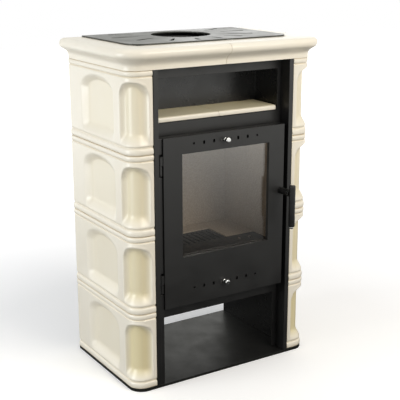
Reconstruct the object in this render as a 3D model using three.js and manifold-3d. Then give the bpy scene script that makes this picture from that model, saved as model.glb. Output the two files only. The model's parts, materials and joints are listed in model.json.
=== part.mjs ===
// A tiled stove: a steel stove body behind a glazed door, dressed with ceramic tiles.
// Millimetres, +Z up. The origin is the centre of the base plate's bottom face,
// +X is the stove's right as seen from the front, and the front faces -Y.
import * as THREE from "three";
import { mergeVertices } from "three/addons/utils/BufferGeometryUtils.js";
import Module from "manifold-3d";

const wasm = await Module();
wasm.setup();

// ---------- Driving dimensions ----------

// Overall
const bodyWidth = 646; // across the tiles
const bodyDepth = 396; // from the front of the trims to the rear edge
const courseHeight = 240; // one row of tiles
const courseCount = 4;
const cornerRadius = 44; // front corners of the tiles, seen from above
const seatGap = 0.3; // between pieces that rest on each other
const sheet = 3; // visible folded sheet steel
const thinSheet = 2; // hidden sheets

// Base plate
const baseThickness = 8;
const baseInset = 2; // behind the tiles' outline

// Tiles
const tileThickness = 35;
const tileFrontWidth = 77; // from the side face to the trim
const tileTrimGap = 0.8;
const frameDepth = 3; // flat of the tile behind its beads
const recessDepth = 16; // floor of the arched recesses
const recessWall = 13; // width of a recess's sloping wall
const beadHeight = 15; // roll along the top edge
const skirtHeight = 20; // plain band along the bottom edge
const edgeRound = 3; // softened edge at each joint
const mouldStep = 5; // height of the step between a band and the flat
const sillDrop = 24; // height of the sloping sill of a recess
const archClear = 36; // from the tile's top edge to the crown of a recess
const archRise = 46; // height of the arch over its springing
const archPower = 2.7; // 2 is an ellipse, more is squarer
const sideRecessRear = 86; // from the rear edge, along the side
const pilasterWidth = 43; // flat between the two recesses
const cornerRecessWidth = 95; // measured round the corner

// Cornice
const corniceHeight = 62;
const corniceOverhang = 28;
const corniceStrip = 9; // upright strip at its foot
const coveHeight = 23; // hollow moulding over the strip
const coveReach = 20; // how far the hollow comes forward
const noseTopReach = 10; // where the rounded nose meets the flat top
const corniceTopWidth = 61; // flat top, inwards from the tiles' outline
const corniceTopThickness = 22;
const corniceFootWidth = 30; // along the sides
const corniceJoint = 1; // between the two halves

// Top plate
const topPlateThickness = 4;
const topPlateSideInset = 46; // behind the tiles' outline
const topPlateRearInset = 8;
const topPlateDepth = 328;
const topPlateRadius = 48;
const topHoleClear = 18.5; // round the flue
const slotPairs = 5; // teardrop slots on each side, from the front round to the rear
const slotPitch = 26; // degrees between two slots
const slotStartFront = 40; // from the hole's edge to the pointed end, in front
const slotStartSide = 56; // the same at the sides
const slotMarginFront = 23; // from the round end to the plate's edge, in front
const slotMarginSide = 37.5; // the same at the sides
const slotRadius = 7;
const slotTip = 2; // half width at the pointed end

// Flue
const flueRadius = 75;
const flueWall = 4;
const flueRim = 12; // below the top plate
const flueFlange = 5;
const flueFrontClear = 12; // from the flue to the smoke box's front

// Trims and front panel
const trimFace = 15;
const panelRecess = 45; // behind the trims' front
const doorSideGap = 14.75;

// Storage compartment
const storageHeight = 196;
const storageMouthInset = 15; // beside each trim
const sheetTileGap = 29; // air gap between the tiles and the side sheets

// Niche
const nicheSideInset = 11; // beside each trim
const nicheTopBand = 32; // panel left above the niche
const nicheClear = 112; // from the shelf's top to the niche's ceiling
const nicheRearGap = 1; // to the smoke box
const shelfThickness = 15;
const shelfSideClear = 5;
const shelfRearClear = 1;
const shelfProud = 5; // in front of the panel
const shelfJoint = 1;
const shelfCorner = 6;

// Stove body behind the panel
const plate = 4; // welded plates of the stove body
const sideAirGap = 25.7; // from the body to the side sheets
const rearAirGap = 48.7; // from the body to the rear shield
const lining = 28;
const floorBrick = 30;
const mouthSideInset = 31.25; // behind the door's edges
const mouthFootInset = 27; // the mouth's sill is level with the ash floor
const mouthHeadInset = 28;
const baffleThickness = 25;
const baffleDrop = 36; // under the body's ceiling at the rear
const baffleReach = 1.7; // past the smoke box's front
const baffleTilt = 6; // degrees, rising to the front
const boxRoofDrop = 9; // from the tiles' top edge to the body's roof

// Grate, sill and ash pan
const grateWidth = 190;
const grateDepth = 113;
const grateThickness = 26;
const grateBars = 9;
const grateRim = 9;
const grateClear = 1;
const sillDepth = 87; // cast plate between the mouth and the bricks
const sillThickness = 8;
const panSideClear = 34; // inside the side linings
const panRearClear = 51;
const panFrontClear = 1;
const panHeight = 75;
const panTopClear = 4.4; // under the brick carrier
const panWall = 1.5;

// Door
const doorFrontInset = 1; // behind the trims' front
const doorFootBand = 45; // panel left between the log store and the door
const doorHeadBand = 39; // panel left between the door and the shelf
const doorDepth = 30;
const windowHingeFrame = 63.25; // from the door's hinge edge to the glass opening
const windowHandleFrame = 57.25; // from its other edge
const windowRise = 154.5; // from the door's lower edge
const windowDrop = 52; // from the door's upper edge
const windowLip = 5; // depth of the folded edge round the glass
const lipSheet = 2;
const glassThickness = 4;
const glassMargin = 14; // glass hidden behind the door's edge
const gasketThickness = 2.4;
const gasketWidth = 10;
const retainerWidth = 18;
const retainerThickness = 3;
const studRadius = 3;
const innerWindowMargin = 28;
const sealWidth = 10;
const sealSideInset = 20; // from the door's sides
const sealEndInset = 14; // from the door's ends

// Air sliders
const upperAirDrop = 24; // below the door's upper edge
const lowerAirRise = 51; // above the door's lower edge
const airHoleCount = 3; // on each side
const airHolePitch = 35;
const airHoleStart = 43; // from the door's middle to the first hole
const airHoleRadius = 3.5;
const airHoleStretch = 4; // the two inner holes are this much taller
const airSlotHalf = 18;
const airStemRadius = 3;
const airStemClear = 0.5;
const airKnobRest = -4; // where the knobs stand in their slots
const sliderEnd = 19; // past the last hole
const sliderHeight = 22;
const knobRadius = 8.5;
const knobLength = 11;
const knobStandoff = 10;

// Handle
const handleInset = 9.5; // from the door's edge to the spindle
const handleRise = 311; // above the door's lower edge
const hubRadius = 11;
const hubFlute = 1.6;
const hubFlutes = 8;
const hubLength = 48;
const spindleRadius = 5;
const spindleClear = 0.4;
const gripRadius = 10;
const gripTop = 28; // above the spindle
const gripBottom = 105; // below the spindle
const buttonRadius = 5.5;
const buttonLength = 7;
const camLength = 15;
const camThickness = 3;
const keeperHeight = 44;
const keeperWidth = 10;

// Hinges
const hingeSetback = 6; // axis behind the trims' front
const knuckleRadius = 5;
const pinRadius = 2.8;
const pinClear = 0.3;
const knuckleLength = 27;
const knuckleGap = 2;
const hingeInset = 80; // from the door's ends to each hinge's middle
const postSetback = 7; // front of the hinge post behind the trims' front
const postClear = 0.5;
const notchDepth = 8;
const notchMargin = 6;
const leafThickness = 5;

// Rear shield
const rearShieldInset = 6;
const rearShieldRise = 208; // above the base plate
const shieldSlots = 7;
const shieldSlotWidth = 150;
const shieldSlotHeight = 9;
const shieldSlotPitch = 26;

// ---------- Places worked out from them ----------

const sideX = bodyWidth / 2;
const frontY = -bodyDepth / 2;
const rearY = bodyDepth / 2;
const baseTop = baseThickness;
const tilesTop = baseTop + courseHeight * courseCount;
const corniceBottom = tilesTop + seatGap;
const corniceTop = tilesTop + corniceHeight;
const plateBottom = corniceTop + seatGap;
const plateTop = plateBottom + topPlateThickness;

const trimOuterX = sideX - tileFrontWidth;
const trimInnerX = trimOuterX - trimFace;
const panelY = frontY + panelRecess;
const panelBackY = panelY + sheet;
const standZ = baseTop + seatGap; // foot of everything that stands on the base plate
const underCornice = tilesTop - seatGap;

const sideSheetX = sideX - tileThickness - sheetTileGap - thinSheet;
const storageMouthHalf = trimInnerX - storageMouthInset;
const storageTop = baseTop + storageHeight;

const nicheTop = tilesTop - nicheTopBand;
const shelfTop = nicheTop - nicheClear;
const shelfBottom = shelfTop - shelfThickness;
const nicheFloor = shelfBottom - seatGap;
const nicheHalf = trimInnerX - nicheSideInset;

const doorHalf = trimInnerX - doorSideGap;
const doorY = frontY + doorFrontInset;
const doorBackY = doorY + doorDepth;
const doorBottom = storageTop + doorFootBand;
const doorTop = shelfBottom - doorHeadBand;
const windowLeft = windowHingeFrame - doorHalf;
const windowRight = doorHalf - windowHandleFrame;
const windowX = (windowLeft + windowRight) / 2;
const windowHalf = windowRight - windowX;
const windowBottom = doorBottom + windowRise;
const windowTop = doorTop - windowDrop;
const mouthHalf = doorHalf - mouthSideInset;
const mouthBottom = doorBottom + mouthFootInset;
const mouthTop = doorTop - mouthHeadInset;

const shellX = sideSheetX - sideAirGap - plate; // inner face of the body's side plates
const liningX = shellX - seatGap;
const fireX = liningX - lining;
const rearShieldY = rearY - rearShieldInset - thinSheet; // front face of the rear shield
const shellBackY = rearShieldY - rearAirGap - plate; // front face of the body's back plate
const fireBackY = shellBackY - seatGap - lining;
const shellFrontY = panelBackY + seatGap;
const shellFloor = mouthBottom;
const shellBottom = shellFloor - plate;
const panBottom = shellFloor + seatGap;
const carrierBottom = panBottom + panHeight + panTopClear;
const brickBottom = carrierBottom + plate + seatGap;
const fireFloorZ = brickBottom + floorBrick;
const fireCeiling = nicheFloor - thinSheet - seatGap - plate - seatGap;
const liningFoot = fireFloorZ + seatGap;
const liningTop = fireCeiling - baffleDrop - baffleThickness;
const brickFrontY = shellFrontY + sillDepth;
const flueY = shellBackY + plate - seatGap - flueFlange - flueRadius;
const smokeFrontY = flueY - flueRadius - flueFrontClear; // rear face of the front plate
const nicheBackY = smokeFrontY - plate - nicheRearGap - thinSheet;
const shellRoof = tilesTop - boxRoofDrop;

const topPlateHalf = sideX - topPlateSideInset;
const topPlateRearY = rearY - topPlateRearInset;
const topPlateFrontY = topPlateRearY - topPlateDepth;
const topHoleRadius = flueRadius + topHoleClear;
const gasketY = doorY + sheet + windowLip + seatGap;
const glassY = gasketY + gasketThickness + seatGap;
const retainerY = glassY + glassThickness + seatGap;
const glassHalf = windowHalf + glassMargin;
const glassBottom = windowBottom - glassMargin;
const glassTop = windowTop + glassMargin;

const handleX = doorHalf - handleInset;
const handleZ = doorBottom + handleRise;
const hubBackY = doorY - 2 * seatGap;
const hubFrontY = hubBackY - hubLength;
const gripY = hubFrontY - seatGap - gripRadius;
const camY = doorBackY + 2 * seatGap;

const hingeX = -(trimInnerX + doorHalf) / 2;
const hingeY = frontY + hingeSetback;
const postY = frontY + postSetback;

// ---------- Shapes ----------

function box(x0, x1, y0, y1, z0, z1) {
  const shape = new THREE.BoxGeometry(x1 - x0, y1 - y0, z1 - z0);
  return shape.translate((x0 + x1) / 2, (y0 + y1) / 2, (z0 + z1) / 2);
}

// A round bar along the Y axis, from y0 to y1.
function barY(radius, x, z, y0, y1, sides = 24) {
  const shape = new THREE.CylinderGeometry(radius, radius, y1 - y0, sides);
  return shape.translate(x, (y0 + y1) / 2, z);
}

// A round bar along the Z axis, from z0 to z1.
function barZ(radius, x, y, z0, z1, sides = 20) {
  const shape = new THREE.CylinderGeometry(radius, radius, z1 - z0, sides);
  return shape.rotateX(Math.PI / 2).translate(x, y, (z0 + z1) / 2);
}

function toSolid(geometry) {
  const bare = new THREE.BufferGeometry();
  const flat = geometry.index ? geometry.toNonIndexed() : geometry;
  bare.setAttribute("position", flat.getAttribute("position"));
  const merged = mergeVertices(bare, 1e-4);
  const triVerts = new Uint32Array(merged.index.array);
  const vertProperties = new Float32Array(merged.attributes.position.array);
  return new wasm.Manifold(new wasm.Mesh({ numProp: 3, vertProperties, triVerts }));
}

function toGeometry(solid) {
  const made = solid.getMesh();
  const geometry = new THREE.BufferGeometry();
  geometry.setAttribute("position", new THREE.BufferAttribute(made.vertProperties, made.numProp));
  geometry.setIndex(new THREE.BufferAttribute(made.triVerts, 1));
  const flat = geometry.toNonIndexed();
  flat.computeVertexNormals();
  return flat;
}

function cut(whole, ...tools) {
  return toGeometry(tools.reduce((left, tool) => left.subtract(toSolid(tool)), toSolid(whole)));
}

function join(first, ...others) {
  return toGeometry(others.reduce((sum, piece) => sum.add(toSolid(piece)), toSolid(first)));
}

// Triangles that fill one closed ring of points lying in a plane.
function capTriangles(ring, flip) {
  const normal = new THREE.Vector3();
  ring.forEach((p, i) => {
    const q = ring[(i + 1) % ring.length];
    normal.x += (p.y - q.y) * (p.z + q.z);
    normal.y += (p.z - q.z) * (p.x + q.x);
    normal.z += (p.x - q.x) * (p.y + q.y);
  });
  normal.normalize();
  const across = new THREE.Vector3(0, 0, 1).cross(normal);
  if (across.length() < 0.1) across.set(1, 0, 0);
  across.normalize();
  const up = normal.clone().cross(across);
  const outline = ring.map((p) => new THREE.Vector2(p.dot(across), p.dot(up)));
  return THREE.ShapeUtils.triangulateShape(outline, []).map(([a, b, c]) =>
    flip ? [a, c, b] : [a, b, c],
  );
}

// A closed skin over a row of rings that all have the same number of points.
function loft(rings) {
  const points = rings.flat();
  const size = rings[0].length;
  const faces = [];
  for (let r = 0; r + 1 < rings.length; r++) {
    for (let i = 0; i < size; i++) {
      const j = (i + 1) % size;
      const [a, b] = [r * size + i, r * size + j];
      const [c, d] = [a + size, b + size];
      faces.push([a, b, d], [a, d, c]);
    }
  }
  const last = (rings.length - 1) * size;
  faces.push(...capTriangles(rings[0], true));
  for (const [a, b, c] of capTriangles(rings[rings.length - 1], false)) {
    faces.push([last + a, last + b, last + c]);
  }
  const bare = new THREE.BufferGeometry().setFromPoints(points);
  bare.setIndex(faces.flat());
  const merged = mergeVertices(bare, 1e-3);
  const index = merged.index.array;
  const kept = [];
  for (let i = 0; i < index.length; i += 3) {
    const [a, b, c] = [index[i], index[i + 1], index[i + 2]];
    if (a !== b && b !== c && c !== a) kept.push(a, b, c);
  }
  merged.setIndex(kept);
  const geometry = merged.toNonIndexed();
  geometry.computeVertexNormals();
  return geometry;
}

// The same geometry on the stove's other side.
function mirrored(geometry) {
  const flat = geometry.index ? geometry.toNonIndexed() : geometry.clone();
  const place = flat.getAttribute("position");
  for (let i = 0; i < place.count; i++) place.setX(i, -place.getX(i));
  for (let i = 0; i < place.count; i += 3) {
    const held = [place.getX(i + 1), place.getY(i + 1), place.getZ(i + 1)];
    place.setXYZ(i + 1, place.getX(i + 2), place.getY(i + 2), place.getZ(i + 2));
    place.setXYZ(i + 2, ...held);
  }
  flat.computeVertexNormals();
  return flat;
}

// A flat piece cut from sheet: an outline seen from above, with holes, from z0 upwards.
function flatPiece(shape, z0, thickness, curveSegments = 8) {
  const geometry = new THREE.ExtrudeGeometry(shape, {
    depth: thickness,
    bevelEnabled: false,
    curveSegments,
  });
  return geometry.translate(0, 0, z0);
}

// A rectangle with round front corners and square rear corners, seen from above.
function frontRoundedOutline(halfWidth, front, rear, radius) {
  const shape = new THREE.Shape();
  shape.moveTo(halfWidth, rear);
  shape.lineTo(-halfWidth, rear);
  shape.lineTo(-halfWidth, front + radius);
  shape.absarc(-halfWidth + radius, front + radius, radius, Math.PI, Math.PI * 1.5, false);
  shape.lineTo(halfWidth - radius, front);
  shape.absarc(halfWidth - radius, front + radius, radius, Math.PI * 1.5, Math.PI * 2, false);
  shape.closePath();
  return shape;
}

// ---------- Ceramic: tiles, cornice and shelf ----------

// A point of the right-hand outline, s along it from the rear edge, with its outward direction.
const sideRun = bodyDepth - cornerRadius;
const cornerRun = (cornerRadius * Math.PI) / 2;
function outlineAt(s) {
  const centre = { x: sideX - cornerRadius, y: frontY + cornerRadius };
  if (s <= sideRun) return { x: sideX, y: rearY - s, nx: 1, ny: 0 };
  if (s <= sideRun + cornerRun) {
    const turn = (s - sideRun) / cornerRadius;
    const [nx, ny] = [Math.cos(turn), -Math.sin(turn)];
    return { x: centre.x + cornerRadius * nx, y: centre.y + cornerRadius * ny, nx, ny };
  }
  return { x: centre.x - (s - sideRun - cornerRun), y: frontY, nx: 0, ny: -1 };
}

// Where the two arched recesses start and how wide they are, along that outline.
const cornerRecessStart = sideRun + (cornerRun - cornerRecessWidth) / 2;
const recesses = [
  { from: sideRecessRear, width: cornerRecessStart - pilasterWidth - sideRecessRear },
  { from: cornerRecessStart, width: cornerRecessWidth },
];

// Height of an arch's edge at u, from -1 to 1 across it.
function archAt(u, top, rise) {
  const reach = Math.min(1, Math.abs(u));
  return top - rise + rise * Math.pow(1 - Math.pow(reach, archPower), 1 / archPower);
}

// One upright row of a tile's face, as [height, depth] from the bottom edge up.
function tileColumn(s) {
  const crown = courseHeight - archClear;
  let inside = null;
  for (const { from, width } of recesses) {
    const centre = from + width / 2;
    if (Math.abs(s - centre) <= width / 2) inside = { offset: s - centre, half: width / 2 };
  }
  const sillFoot = skirtHeight + mouldStep;
  const sillTop = sillFoot + sillDrop;
  let [floorDepth, archOuter, archInner] = [frameDepth, crown, crown - recessWall];
  if (inside) {
    const innerHalf = inside.half - recessWall;
    archOuter = archAt(inside.offset / inside.half, crown, archRise);
    archInner = archAt(inside.offset / innerHalf, crown - recessWall, archRise);
    if (Math.abs(inside.offset) <= innerHalf + 0.01) floorDepth = recessDepth;
    archOuter = Math.max(archOuter, archInner + 1);
  }
  return [
    [0, edgeRound],
    [edgeRound, 0],
    [skirtHeight, 0],
    [sillFoot, frameDepth],
    [sillTop, floorDepth],
    [archInner, floorDepth],
    [archOuter, frameDepth],
    [courseHeight - beadHeight - mouldStep, frameDepth],
    [courseHeight - beadHeight, 0],
    [courseHeight - edgeRound, 0],
    [courseHeight - seatGap, edgeRound],
  ];
}

// Places along the outline where a tile's face needs a row of points.
function tileStations(end) {
  const stations = [0, end, sideRun, sideRun + cornerRun];
  for (const { from, width } of recesses) {
    const centre = from + width / 2;
    const innerHalf = width / 2 - recessWall;
    stations.push(from, from + width, centre);
    for (const share of [0.4, 0.72, 0.9, 1]) {
      stations.push(centre - share * innerHalf, centre + share * innerHalf);
    }
  }
  const cleared = stations.filter((s) => s >= 0 && s <= end).sort((a, b) => a - b);
  return cleared.filter((s, i) => i === 0 || s - cleared[i - 1] > 0.5);
}

function tileGeometry(bottom) {
  const tileEndX = trimOuterX + tileTrimGap;
  const end = sideRun + cornerRun + (sideX - cornerRadius - tileEndX);
  const rings = tileStations(end).map((s) => {
    const { x, y, nx, ny } = outlineAt(s);
    const at = (depth, z) => new THREE.Vector3(x - nx * depth, y - ny * depth, bottom + z);
    const face = tileColumn(s).map(([z, depth]) => at(depth, z));
    return [...face, at(tileThickness, courseHeight - seatGap), at(tileThickness, 0)];
  });
  return loft(rings);
}

// The cornice's section, as [outwards, height] from the foot of its face.
function corniceSection() {
  const noseFoot = corniceStrip + coveHeight;
  const noseMiddle = (noseFoot + corniceHeight) / 2;
  const path = new THREE.Path();
  path.moveTo(0, 0);
  path.lineTo(0, corniceStrip);
  path.bezierCurveTo(
    0, corniceStrip + coveHeight * 0.57,
    coveReach * 0.5, corniceStrip + coveHeight * 0.74,
    coveReach, noseFoot,
  );
  path.bezierCurveTo(
    coveReach + (corniceOverhang - coveReach) * 0.75, noseFoot + 3.5,
    corniceOverhang, noseMiddle - 6,
    corniceOverhang, noseMiddle,
  );
  path.bezierCurveTo(
    corniceOverhang, corniceHeight - 6,
    (corniceOverhang + noseTopReach) / 2, corniceHeight,
    noseTopReach, corniceHeight,
  );
  return path.getPoints(5);
}

function corniceGeometry() {
  const section = corniceSection();
  const innerX = sideX - corniceTopWidth;
  const innerY = frontY + corniceTopWidth;
  const footX = sideX - corniceFootWidth;
  const footY = panelBackY;
  const flangeZ = corniceHeight - corniceTopThickness;
  const cornerSteps = 8;
  const stations = [0];
  for (let i = 0; i <= cornerSteps; i++) stations.push(sideRun + (cornerRun * i) / cornerSteps);
  stations.push(sideRun + cornerRun + sideX - cornerRadius - corniceJoint / 2);
  const rings = stations.map((s) => {
    const { x, y, nx, ny } = outlineAt(s);
    const outer = section.map(
      (p) => new THREE.Vector3(x + nx * p.x, y + ny * p.x, tilesTop + Math.max(p.y, seatGap)),
    );
    // The inner edges turn a square corner, so a row on the round corner ends at that corner.
    const inner = (edgeX, edgeY, z) =>
      new THREE.Vector3(Math.min(x, edgeX), Math.max(y, edgeY), tilesTop + z);
    return [
      ...outer,
      inner(innerX, innerY, corniceHeight),
      inner(innerX, innerY, flangeZ),
      inner(footX, footY, flangeZ),
      inner(footX, footY, seatGap),
    ];
  });
  return loft(rings);
}

// One half of the shelf, on the right.
function shelfGeometry() {
  const front = panelY - shelfProud;
  const rear = nicheBackY - shelfRearClear;
  const half = nicheHalf - shelfSideClear;
  const shape = new THREE.Shape();
  shape.moveTo(shelfJoint / 2, rear);
  shape.lineTo(shelfJoint / 2, front);
  shape.lineTo(half - shelfCorner, front);
  shape.absarc(half - shelfCorner, front + shelfCorner, shelfCorner, -Math.PI / 2, 0, false);
  shape.lineTo(half, rear);
  shape.closePath();
  return flatPiece(shape, shelfBottom, shelfThickness, 6);
}

// ---------- Outer steel ----------

function basePlateGeometry() {
  const inset = baseInset;
  const outline = frontRoundedOutline(sideX - inset, frontY, rearY, cornerRadius - inset);
  return flatPiece(outline, 0, baseThickness, 8);
}

// The right-hand trim: a narrow front face folded back to the panel.
function trimGeometry() {
  const back = panelY - seatGap;
  const shape = new THREE.Shape();
  shape.moveTo(trimOuterX, frontY);
  shape.lineTo(trimOuterX, frontY + sheet);
  shape.lineTo(trimInnerX + sheet, frontY + sheet);
  shape.lineTo(trimInnerX + sheet, back);
  shape.lineTo(trimInnerX, back);
  shape.lineTo(trimInnerX, frontY);
  shape.closePath();
  return flatPiece(shape, standZ, underCornice - standZ);
}

function frontPanelGeometry() {
  const half = sideSheetX - seatGap;
  const inset = 2; // the cuts pass through both faces
  const slab = box(-half, half, panelY, panelBackY, standZ, underCornice);
  const through = (halfWidth, z0, z1) =>
    box(-halfWidth, halfWidth, panelY - inset, panelBackY + inset, z0, z1);
  return cut(
    slab,
    through(nicheHalf, nicheFloor - thinSheet - 2 * seatGap, nicheTop),
    through(mouthHalf, mouthBottom, mouthTop),
    through(storageMouthHalf, 0, storageTop),
  );
}

// A many-sided ring round a point in the middle plane, seen from above.
function ringPath(radius, middleY, sides) {
  const points = [];
  for (let i = 0; i < sides; i++) {
    const turn = (i / sides) * Math.PI * 2;
    points.push(new THREE.Vector2(radius * Math.cos(turn), middleY + radius * Math.sin(turn)));
  }
  return new THREE.Path(points);
}

// A teardrop slot that points at the hole, turned by an angle from the front.
function topSlotPath(angle) {
  const sideways = Math.sin(angle) ** 2;
  const start = topHoleRadius + THREE.MathUtils.lerp(slotStartFront, slotStartSide, sideways);
  const endFront = flueY - topPlateFrontY - slotMarginFront;
  const endSide = topPlateHalf - slotMarginSide;
  const end = THREE.MathUtils.lerp(endFront, endSide, sideways);
  const points = [[start, slotTip], [start, -slotTip]];
  const steps = 5;
  for (let i = 0; i <= steps; i++) {
    const turn = -Math.PI / 2 + (Math.PI * i) / steps;
    points.push([end - slotRadius + slotRadius * Math.cos(turn), slotRadius * Math.sin(turn)]);
  }
  const [sine, cosine] = [Math.sin(angle), Math.cos(angle)];
  const placed = points.map(
    ([out, aside]) =>
      new THREE.Vector2(sine * out + cosine * aside, flueY - cosine * out + sine * aside),
  );
  return new THREE.Path(placed);
}

function topPlateGeometry() {
  const outline = frontRoundedOutline(
    topPlateHalf, topPlateFrontY, topPlateRearY, topPlateRadius,
  );
  outline.holes.push(ringPath(topHoleRadius, flueY, 48));
  for (let i = 0; i < slotPairs; i++) {
    const angle = THREE.MathUtils.degToRad((i + 0.5) * slotPitch);
    outline.holes.push(topSlotPath(angle), topSlotPath(-angle));
  }
  return flatPiece(outline, plateBottom, topPlateThickness, 8);
}

function sideSheetGeometry() {
  const x = sideSheetX;
  return box(x, x + thinSheet, panelY, rearY - 1, standZ, underCornice);
}

function rearShieldGeometry() {
  const half = sideSheetX - seatGap;
  const back = rearShieldY + thinSheet;
  const bottom = baseTop + rearShieldRise;
  const top = plateBottom - seatGap;
  const slab = box(-half, half, rearShieldY, back, bottom, top);
  const middle = (bottom + underCornice) / 2;
  const slots = [];
  for (let i = 0; i < shieldSlots; i++) {
    const z = middle + (i - (shieldSlots - 1) / 2) * shieldSlotPitch;
    for (const side of [-1, 1]) {
      const x = (side * half) / 2;
      const half2 = shieldSlotWidth / 2;
      slots.push(
        box(x - half2, x + half2, back - 2 * thinSheet, back + thinSheet, z, z + shieldSlotHeight),
      );
    }
  }
  return cut(slab, ...slots);
}

function storageCeilingGeometry() {
  const half = sideSheetX - seatGap;
  const rear = rearShieldY - seatGap;
  return box(-half, half, shellFrontY, rear, storageTop, storageTop + thinSheet);
}

// An open-fronted box of folded sheet.
function nicheBoxGeometry() {
  const half = nicheHalf;
  const wall = thinSheet;
  const front = panelBackY + seatGap;
  const outer = box(
    -half - wall, half + wall, front, nicheBackY + wall, nicheFloor - wall, nicheTop + wall,
  );
  return cut(outer, box(-half, half, front - wall, nicheBackY, nicheFloor, nicheTop));
}

// ---------- Stove body ----------

function shellBottomGeometry() {
  const half = shellX + plate;
  return box(-half, half, shellFrontY, shellBackY + plate, shellBottom, shellFloor);
}

// The right-hand side plate, lower in front to pass under the niche.
function shellSideGeometry() {
  const x = shellX;
  const z0 = shellFloor + seatGap;
  const lower = box(x, x + plate, shellFrontY, shellBackY - seatGap, z0, fireCeiling + plate);
  const upper = box(x, x + plate, smokeFrontY, shellBackY - seatGap, z0, shellRoof - seatGap);
  return join(lower, upper);
}

function shellBackGeometry() {
  const half = shellX + plate;
  const z0 = shellFloor + seatGap;
  return box(-half, half, shellBackY, shellBackY + plate, z0, shellRoof - seatGap);
}

function shellCeilingGeometry() {
  const half = shellX - seatGap;
  return box(-half, half, shellFrontY, smokeFrontY, fireCeiling, fireCeiling + plate);
}

function smokeFrontGeometry() {
  const half = shellX - seatGap;
  const z0 = fireCeiling + plate + seatGap;
  return box(-half, half, smokeFrontY - plate, smokeFrontY, z0, shellRoof - seatGap);
}

function shellRoofGeometry() {
  const half = shellX + plate;
  const slab = box(-half, half, smokeFrontY - plate, shellBackY + plate, shellRoof, shellRoof + plate);
  const bore = barZ(flueRadius - flueWall, 0, flueY, shellRoof - plate, shellRoof + 2 * plate, 40);
  return cut(slab, bore);
}

function flueCollarGeometry() {
  const z0 = shellRoof + plate + seatGap;
  const z1 = plateTop - flueRim;
  const inner = flueRadius - flueWall;
  const profile = [
    new THREE.Vector2(inner, z0),
    new THREE.Vector2(flueRadius + flueFlange, z0),
    new THREE.Vector2(flueRadius + flueFlange, z0 + plate),
    new THREE.Vector2(flueRadius, z0 + plate),
    new THREE.Vector2(flueRadius, z1),
    new THREE.Vector2(inner, z1),
    new THREE.Vector2(inner, z0),
  ];
  return new THREE.LatheGeometry(profile, 40).rotateX(Math.PI / 2).translate(0, flueY, 0);
}

// ---------- Fire side ----------

function backLiningGeometry() {
  return box(-liningX, liningX, fireBackY, fireBackY + lining, liningFoot, liningTop);
}

function sideLiningGeometry() {
  const front = shellFrontY + seatGap;
  return box(fireX, liningX, front, fireBackY - seatGap, liningFoot, liningTop);
}

function floorLiningGeometry() {
  const slab = box(
    -liningX, liningX, brickFrontY, fireBackY + lining, brickBottom, fireFloorZ,
  );
  const half = grateWidth / 2 + grateClear;
  const rear = brickFrontY + grateDepth + grateClear;
  return cut(slab, box(-half, half, brickFrontY - 1, rear, brickBottom - 1, fireFloorZ + 1));
}

// A shelf of plate under the bricks that also carries the grate.
function brickCarrierGeometry() {
  const half = shellX - seatGap;
  const [z0, z1] = [carrierBottom, carrierBottom + plate];
  const slab = box(-half, half, shellFrontY, shellBackY - seatGap, z0, z1);
  const opening = grateWidth / 2 - grateRim;
  return cut(
    slab,
    box(
      -opening, opening, brickFrontY + grateRim, brickFrontY + grateDepth - grateRim,
      z0 - plate, z1 + plate,
    ),
  );
}

function grateGeometry() {
  const half = grateWidth / 2;
  const y0 = brickFrontY + grateClear;
  const y1 = brickFrontY + grateDepth;
  const z0 = brickBottom;
  const slab = box(-half, half, y0, y1, z0, z0 + grateThickness);
  const gaps = [];
  const pitch = (grateWidth - 2 * grateRim) / grateBars;
  for (let i = 0; i < grateBars; i++) {
    const x = -half + grateRim + pitch * (i + 0.5);
    gaps.push(
      box(x - pitch / 4, x + pitch / 4, y0 + grateRim, y1 - grateRim, z0 - 1, z0 + grateThickness + 1),
    );
  }
  return cut(slab, ...gaps);
}

// The cast plate between the fire mouth and the bricks, on two feet.
function sillPlateGeometry() {
  const half = fireX - seatGap;
  const rear = brickFrontY - seatGap;
  const front = shellFrontY + seatGap;
  const top = box(-half, half, front, rear, fireFloorZ - sillThickness, fireFloorZ);
  const foot = box(-half, half, rear - sillThickness, rear, brickBottom, fireFloorZ - sillThickness + 1);
  const lip = box(-half, half, front, front + sillThickness, brickBottom, fireFloorZ - sillThickness + 1);
  return join(top, foot, lip);
}

// The baffle over the fire: a board that rises towards the front.
function baffleGeometry() {
  const half = fireX + lining * 0.6;
  const tilt = THREE.MathUtils.degToRad(baffleTilt);
  const depth = shellBackY - smokeFrontY + baffleReach;
  const board = new THREE.BoxGeometry(2 * half, depth, baffleThickness);
  board.translate(0, -depth / 2, baffleThickness / 2).rotateX(-tilt);
  const rise = Math.sin(tilt) * baffleThickness;
  return board.translate(0, shellBackY - seatGap - rise, liningTop + seatGap);
}

function ashPanGeometry() {
  const half = fireX - panSideClear;
  const [y0, y1] = [shellFrontY + panFrontClear, shellBackY - panRearClear];
  const [z0, z1] = [panBottom, panBottom + panHeight];
  const w = panWall;
  const tray = box(-half, half, y0, y1, z0, z1);
  return cut(tray, box(-half + w, half - w, y0 + w, y1 - w, z0 + w, z1 + w));
}

// ---------- Door ----------

function airHole(x, z, y0, y1, stretch, radius = airHoleRadius) {
  if (!stretch) return barY(radius, x, z, y0, y1, 12);
  const shape = new THREE.Shape();
  shape.absarc(x, z + stretch / 2, radius, 0, Math.PI, false);
  shape.absarc(x, z - stretch / 2, radius, Math.PI, Math.PI * 2, false);
  const tool = new THREE.ExtrudeGeometry(shape, {
    depth: y1 - y0, bevelEnabled: false, curveSegments: 6,
  });
  return tool.rotateX(Math.PI / 2).translate(0, y1, 0);
}

function airHoles(z, y0, y1, radius) {
  const holes = [];
  for (const side of [-1, 1]) {
    for (let i = 0; i < airHoleCount; i++) {
      const x = side * (airHoleStart + i * airHolePitch);
      const isLast = i === airHoleCount - 1;
      holes.push(airHole(x, z, y0, y1, isLast ? 0 : airHoleStretch, radius));
    }
  }
  return holes;
}

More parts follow.
